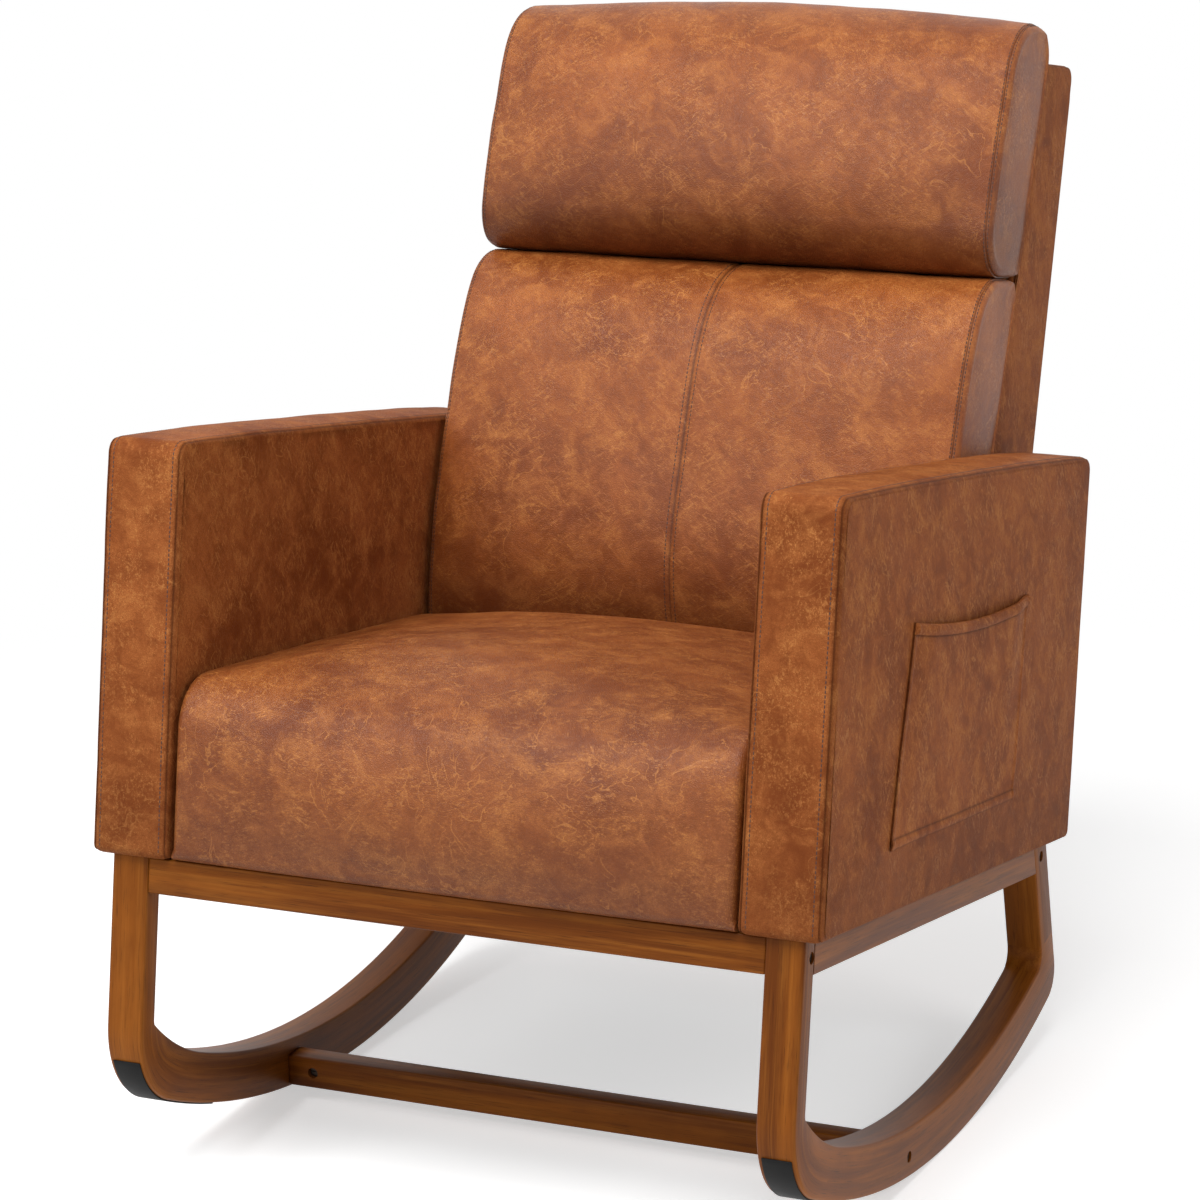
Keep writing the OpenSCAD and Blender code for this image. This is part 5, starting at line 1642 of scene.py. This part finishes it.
@dataclass
class Pocket:
    """Sewn pocket on the outer side of the right arm, with a rolled hem at its sagging mouth."""

    palette: Palette
    sewing: Sewing
    wall: Surface
    front: float = 176.0
    width: float = 307.0
    up: float = 251.0
    down: float = 63.0
    tilt: float = 4.0
    flare: float = 31.0
    taper: float = 9.0
    sag: float = 9.0
    room: float = 4.6
    hide: float = 1.6
    hem: float = 10.0
    band: float = 9.0

    def corner(self, u: float, v: float) -> tuple[float, float]:
        """Y and Z of a spot, from 0 at the front and the bottom to 1 at the rear and the mouth."""
        y0 = self.front - self.flare * (1 - v) * (1 + 0.25 * v)
        y1 = self.front + self.width - self.taper * (1 - v)
        top = self.up - self.sag * 4 * u * (1 - u)
        foot = self.down - self.tilt * (1 - u)
        return y0 + (y1 - y0) * u, foot + (top - foot) * v

    def stand(self, u: float, v: float) -> float:
        """How far the leather stands off the arm: nothing along the seams, most at the mouth."""
        tall = self.up - self.down
        rim = min(1.0, min(u, 1 - u) / 0.16)
        foot = min(1.0, v / 0.3)
        lift = rim * rim * (3 - 2 * rim) * foot * foot * (3 - 2 * foot)
        fold = 0.8 * math.exp(-((u * self.width - 3) / 3) ** 2)
        fold += 0.9 * math.exp(-(((1 - u) * self.width - 3) / 3) ** 2)
        fold += 1.3 * math.exp(-((v * tall - self.band / 2) / 3.6) ** 2)
        return lift * self.room * (0.25 + 0.75 * v ** 2) + fold

    def dark(self, u: float, v: float) -> float:
        """How dark the painted shade is at a spot: a painted shadow under the hem and painted shade in the
        creases at the front edge, over the bottom band, at the foot and at the rear edge.
        """
        tall = self.up - self.down
        near = [((1 - v) * tall - self.hem, 1.6, 1.0), (u * self.width, 0.9, 0.9),
                (v * tall - self.band, 1.1, 0.8), (v * tall, 1.0, 0.9), ((1 - u) * self.width, 1.0, 0.6)]
        return max(share * math.exp(-(gap / reach) ** 2) for gap, reach, share in near)

    def sheet(self, name: str, us: Sequence[float], vs: Sequence[float], lift: Callable) -> Object:
        """A sheet over part of the pocket."""
        rows, marks = [], []
        for v in vs:
            row = []
            for u in us:
                y, z = self.corner(u, v)
                row.append((self.wall.outer_face(y, z) + self.hide / 2 + self.stand(u, v) + lift(u, v), y, z))
            rows.append(row)
            # The sheet under the hem carries painted shade; the hem itself carries none.
            marks.append([self.dark(u, v) if lift(u, v) == 0 else 0.0 for u in us])
        return wrap(name, np.array(rows), closed=False, marks={"seam": marks})

    def build(self) -> None:
        """Builds the pocket, its hem and its stitches."""
        tall, wide = self.up - self.down, self.width
        fine = np.array([0.0, 0.6, 1.2, 2.0, 3.0, 4.2, 5.6, 7.2, 9.0])
        middle = np.linspace(11 / wide, 1 - 11 / wide, 56)
        us = np.unique(np.round(np.concatenate([fine / wide, middle, 1 - fine / wide]), 6))
        band = self.band + np.array([-2.4, -1.2, -0.6, 0.0, 0.6, 1.2, 2.4])
        hem = tall - self.hem + np.array([-3.6, -2.4, -1.4, -0.7, 0.0, 0.7, 1.4])
        between = np.linspace(band[-1] + 3, hem[0] - 3, 32)
        vs = np.concatenate([[0.0, 0.6, 1.2, 2.2, 3.4, 5.0], band, between, hem,
                             [tall - 6, tall - 3, tall]]) / tall
        bag = self.sheet("side_pocket_dressed", us, vs, lambda u, v: 0.0)
        self.face_out(bag)
        modify(bag, "SOLIDIFY", thickness=self.hide * MM, offset=0.0)
        surface = Surface(bag)
        Chair.place(bag, self.palette.side, "leather", ["side_pocket"])
        share = self.hem / tall

        def roll(u: float, v: float) -> float:
            """Height of the rolled hem over the leather."""
            end = math.sqrt(max(0.0, 1 - max(0.0, 1 - min(u, 1 - u) * wide / 5) ** 2))
            return 0.8 + 3.2 * end * math.sqrt(max(0.0, 1 - ((v - 1 + share / 2) / (share / 2)) ** 2))

        turns = 1 - share / 2 - share / 2 * np.cos(np.linspace(0, math.pi, 15))
        tube = self.sheet("pocket_hem_dressed", us, turns, roll)
        self.face_out(tube)
        modify(tube, "SOLIDIFY", thickness=self.hide * MM, offset=-1.0)
        Chair.place(tube, self.palette.side, "leather", ["pocket_hem"])
        side, x = 3.4 / wide, Chair.HALF + 6
        low, below = (self.band + 2.2) / tall, 1 - share - 3.4 / tall
        rows = [
            [(x, *self.corner(1 - side, v)) for v in np.linspace(0.02, 0.97, 12)],
            [(x, *self.corner(u, low)) for u in np.linspace(side, 1 - side, 24)],
            [(x, *self.corner(u, below)) for u in np.linspace(side, 1 - side, 24)],
        ]
        self.sewing.row("pocket_stitches", surface, rows, "leather")

    def face_out(self, obj: Object) -> None:
        """Turns an open sheet's faces away from the arm."""
        total = sum(p.normal.x for p in obj.data.polygons)
        if total < 0:
            to_edit(obj)
            bpy.ops.mesh.select_all(action="SELECT")
            bpy.ops.mesh.flip_normals()
            to_object()


# ---------------------------------------------------------------------------
# Studio


def outlook(azimuth: float, elevation: float) -> Vector:
    """Direction from the chair, in degrees from its front towards its right and above the floor."""
    a, e = math.radians(azimuth), math.radians(elevation)
    return Vector((math.sin(a) * math.cos(e), -math.cos(a) * math.cos(e), math.sin(e)))


@dataclass
class Studio:
    """Camera at the photograph's angle, soft lights and a pale floor."""

    focal_px: float = 4198.635
    frame_px: float = 1200.0
    azimuth: float = 23.4317
    elevation: float = 6.2453
    roll: float = 2.8092
    target: tuple = (57.737, 170.854, 245.001)
    distance: float = 3661.745
    lift: float = 0.5

    def camera(self) -> None:
        """Places the camera, which leans with the chair's own axes."""
        a, r = math.radians(self.azimuth), math.radians(self.roll)
        back = outlook(self.azimuth, self.elevation)
        right = Vector((math.cos(a), math.sin(a), 0.0))
        up = back.cross(right)
        turned_right = right * math.cos(r) + up * math.sin(r)
        turned_up = up * math.cos(r) - right * math.sin(r)
        place = (Vector(self.target) + back * self.distance) * MM
        matrix = Matrix.Identity(4)
        for k, axis in enumerate((turned_right, turned_up, back, place)):
            for i in range(3):
                matrix[i][k] = axis[i]
        data = bpy.data.cameras.new("camera")
        data.sensor_width = 36.0
        data.lens = self.focal_px * data.sensor_width / self.frame_px
        data.clip_end = 50.0
        camera = bpy.data.objects.new("camera", data)
        camera.matrix_world = REST @ matrix
        bpy.context.scene.collection.objects.link(camera)
        bpy.context.scene.camera = camera

    def lamp(self, name: str, azimuth: float, elevation: float, reach: float, size: Point,
             watts: float) -> None:
        """Adds a soft box that looks at the chair.

        Args:
            name: the lamp's name.
            azimuth: degrees from the chair's front towards its right.
            elevation: degrees above the floor.
            reach: distance in metres.
            size: width and height in metres.
            watts: power.
        """
        middle = Vector((0.0, -0.05, 0.5))
        place = middle + outlook(azimuth, elevation) * reach
        data = bpy.data.lights.new(name, "AREA")
        data.shape = "RECTANGLE"
        data.size, data.size_y = size
        data.energy = watts
        lamp = bpy.data.objects.new(name, data)
        aim = (place - middle).to_track_quat("Z", "Y")
        lamp.matrix_world = Matrix.Translation(place) @ aim.to_matrix().to_4x4()
        bpy.context.scene.collection.objects.link(lamp)

    def seen(self, t: Tree) -> Socket:
        """1 where the camera looks, straight or in a reflection, and 0 for other light."""
        rays = t.add("ShaderNodeLightPath").outputs
        return t.largest(*(rays[f"Is {kind} Ray"] for kind in ("Camera", "Glossy", "Transmission")))

    def world(self, strength: float) -> None:
        """Soft light from all round, and white where the camera looks past the chair."""
        world = bpy.data.worlds.new("studio")
        bpy.context.scene.world = world
        t = cleared(world)
        soft = t.add("ShaderNodeBackground", Color=(1, 1, 1, 1), Strength=strength)
        white = t.add("ShaderNodeBackground", Color=(1, 1, 1, 1), Strength=1.0)
        mixed = t.add("ShaderNodeMixShader", Fac=self.seen(t), i1=soft.outputs[0], i2=white.outputs[0])
        t.show(mixed.outputs[0], "ShaderNodeOutputWorld")

    def floor(self) -> None:
        """Floor that keeps the chair's shadow and is white further away."""
        bpy.ops.object.select_all(action="DESELECT")
        bpy.ops.mesh.primitive_plane_add(size=60.0)
        floor = fresh("floor")
        material = bpy.data.materials.new("pale_floor")
        t = cleared(material)
        shader = t.add("ShaderNodeBsdfPrincipled", Base_Color=(0.86, 0.86, 0.86, 1.0), Roughness=0.9)
        lift = t.add("ShaderNodeEmission", Color=(1, 1, 1, 1), Strength=self.lift)
        near = t.add("ShaderNodeAddShader", i0=shader.outputs[0], i1=lift.outputs[0])
        white = t.add("ShaderNodeEmission", Color=(1, 1, 1, 1), Strength=1.0)
        where = t.add("ShaderNodeTexCoord").outputs["Object"]
        length = t.add("ShaderNodeVectorMath", {"operation": "LENGTH"}, i0=where).outputs["Value"]
        far = t.step(length, 0.8, 1.9)
        seen = t.add("ShaderNodeMixShader", Fac=far, i1=near.outputs[0], i2=white.outputs[0])
        mixed = t.add("ShaderNodeMixShader", Fac=self.seen(t), i1=shader.outputs[0], i2=seen.outputs[0])
        t.show(mixed.outputs[0])
        floor.data.materials.append(material)

    def build(self) -> None:
        """Sets up the whole studio."""
        self.camera()
        self.world(0.22)
        self.lamp("key_softbox", -6, 60, 3.4, (3.0, 1.6), 122)
        self.lamp("front_softbox", -26, 28, 3.4, (1.6, 1.2), 26)
        self.lamp("right_fill", 80, 26, 3.4, (1.8, 1.8), 27)
        self.lamp("left_fill", -75, 30, 3.4, (1.8, 1.8), 10)
        self.floor()
        bpy.context.scene.view_settings.view_transform = "Standard"


class FrameNodes:
    """Dresses the frame's own nodes with the finish of their slot."""

    def __init__(self, palette: Palette) -> None:
        """Keeps the palette."""
        self.palette = palette

    def dress(self) -> None:
        """Gives every node of the frame its procedural material."""
        slots = {part["node"]: part["material_slot"] for part in frame["record"]["subparts"]}
        for name, obj in frame["nodes"].items():
            obj.data.materials.clear()
            obj.data.materials.append(self.palette.by_slot[slots[name]])


def main() -> None:
    """Builds the chair round its frame."""
    logging.basicConfig(level=logging.INFO, format="%(name)s %(message)s")
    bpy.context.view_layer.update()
    palette = Palette()
    Studio().build()
    FrameNodes(palette).dress()
    sewing = Sewing(palette)
    Base(palette).build()
    arm = Arms(palette, sewing).build()
    Seat(palette).build()
    Back(palette, sewing).build()
    Pocket(palette, sewing, arm).build()
    log.info("%d pieces", len(Chair.made))


if __name__ == "__main__":
    main()
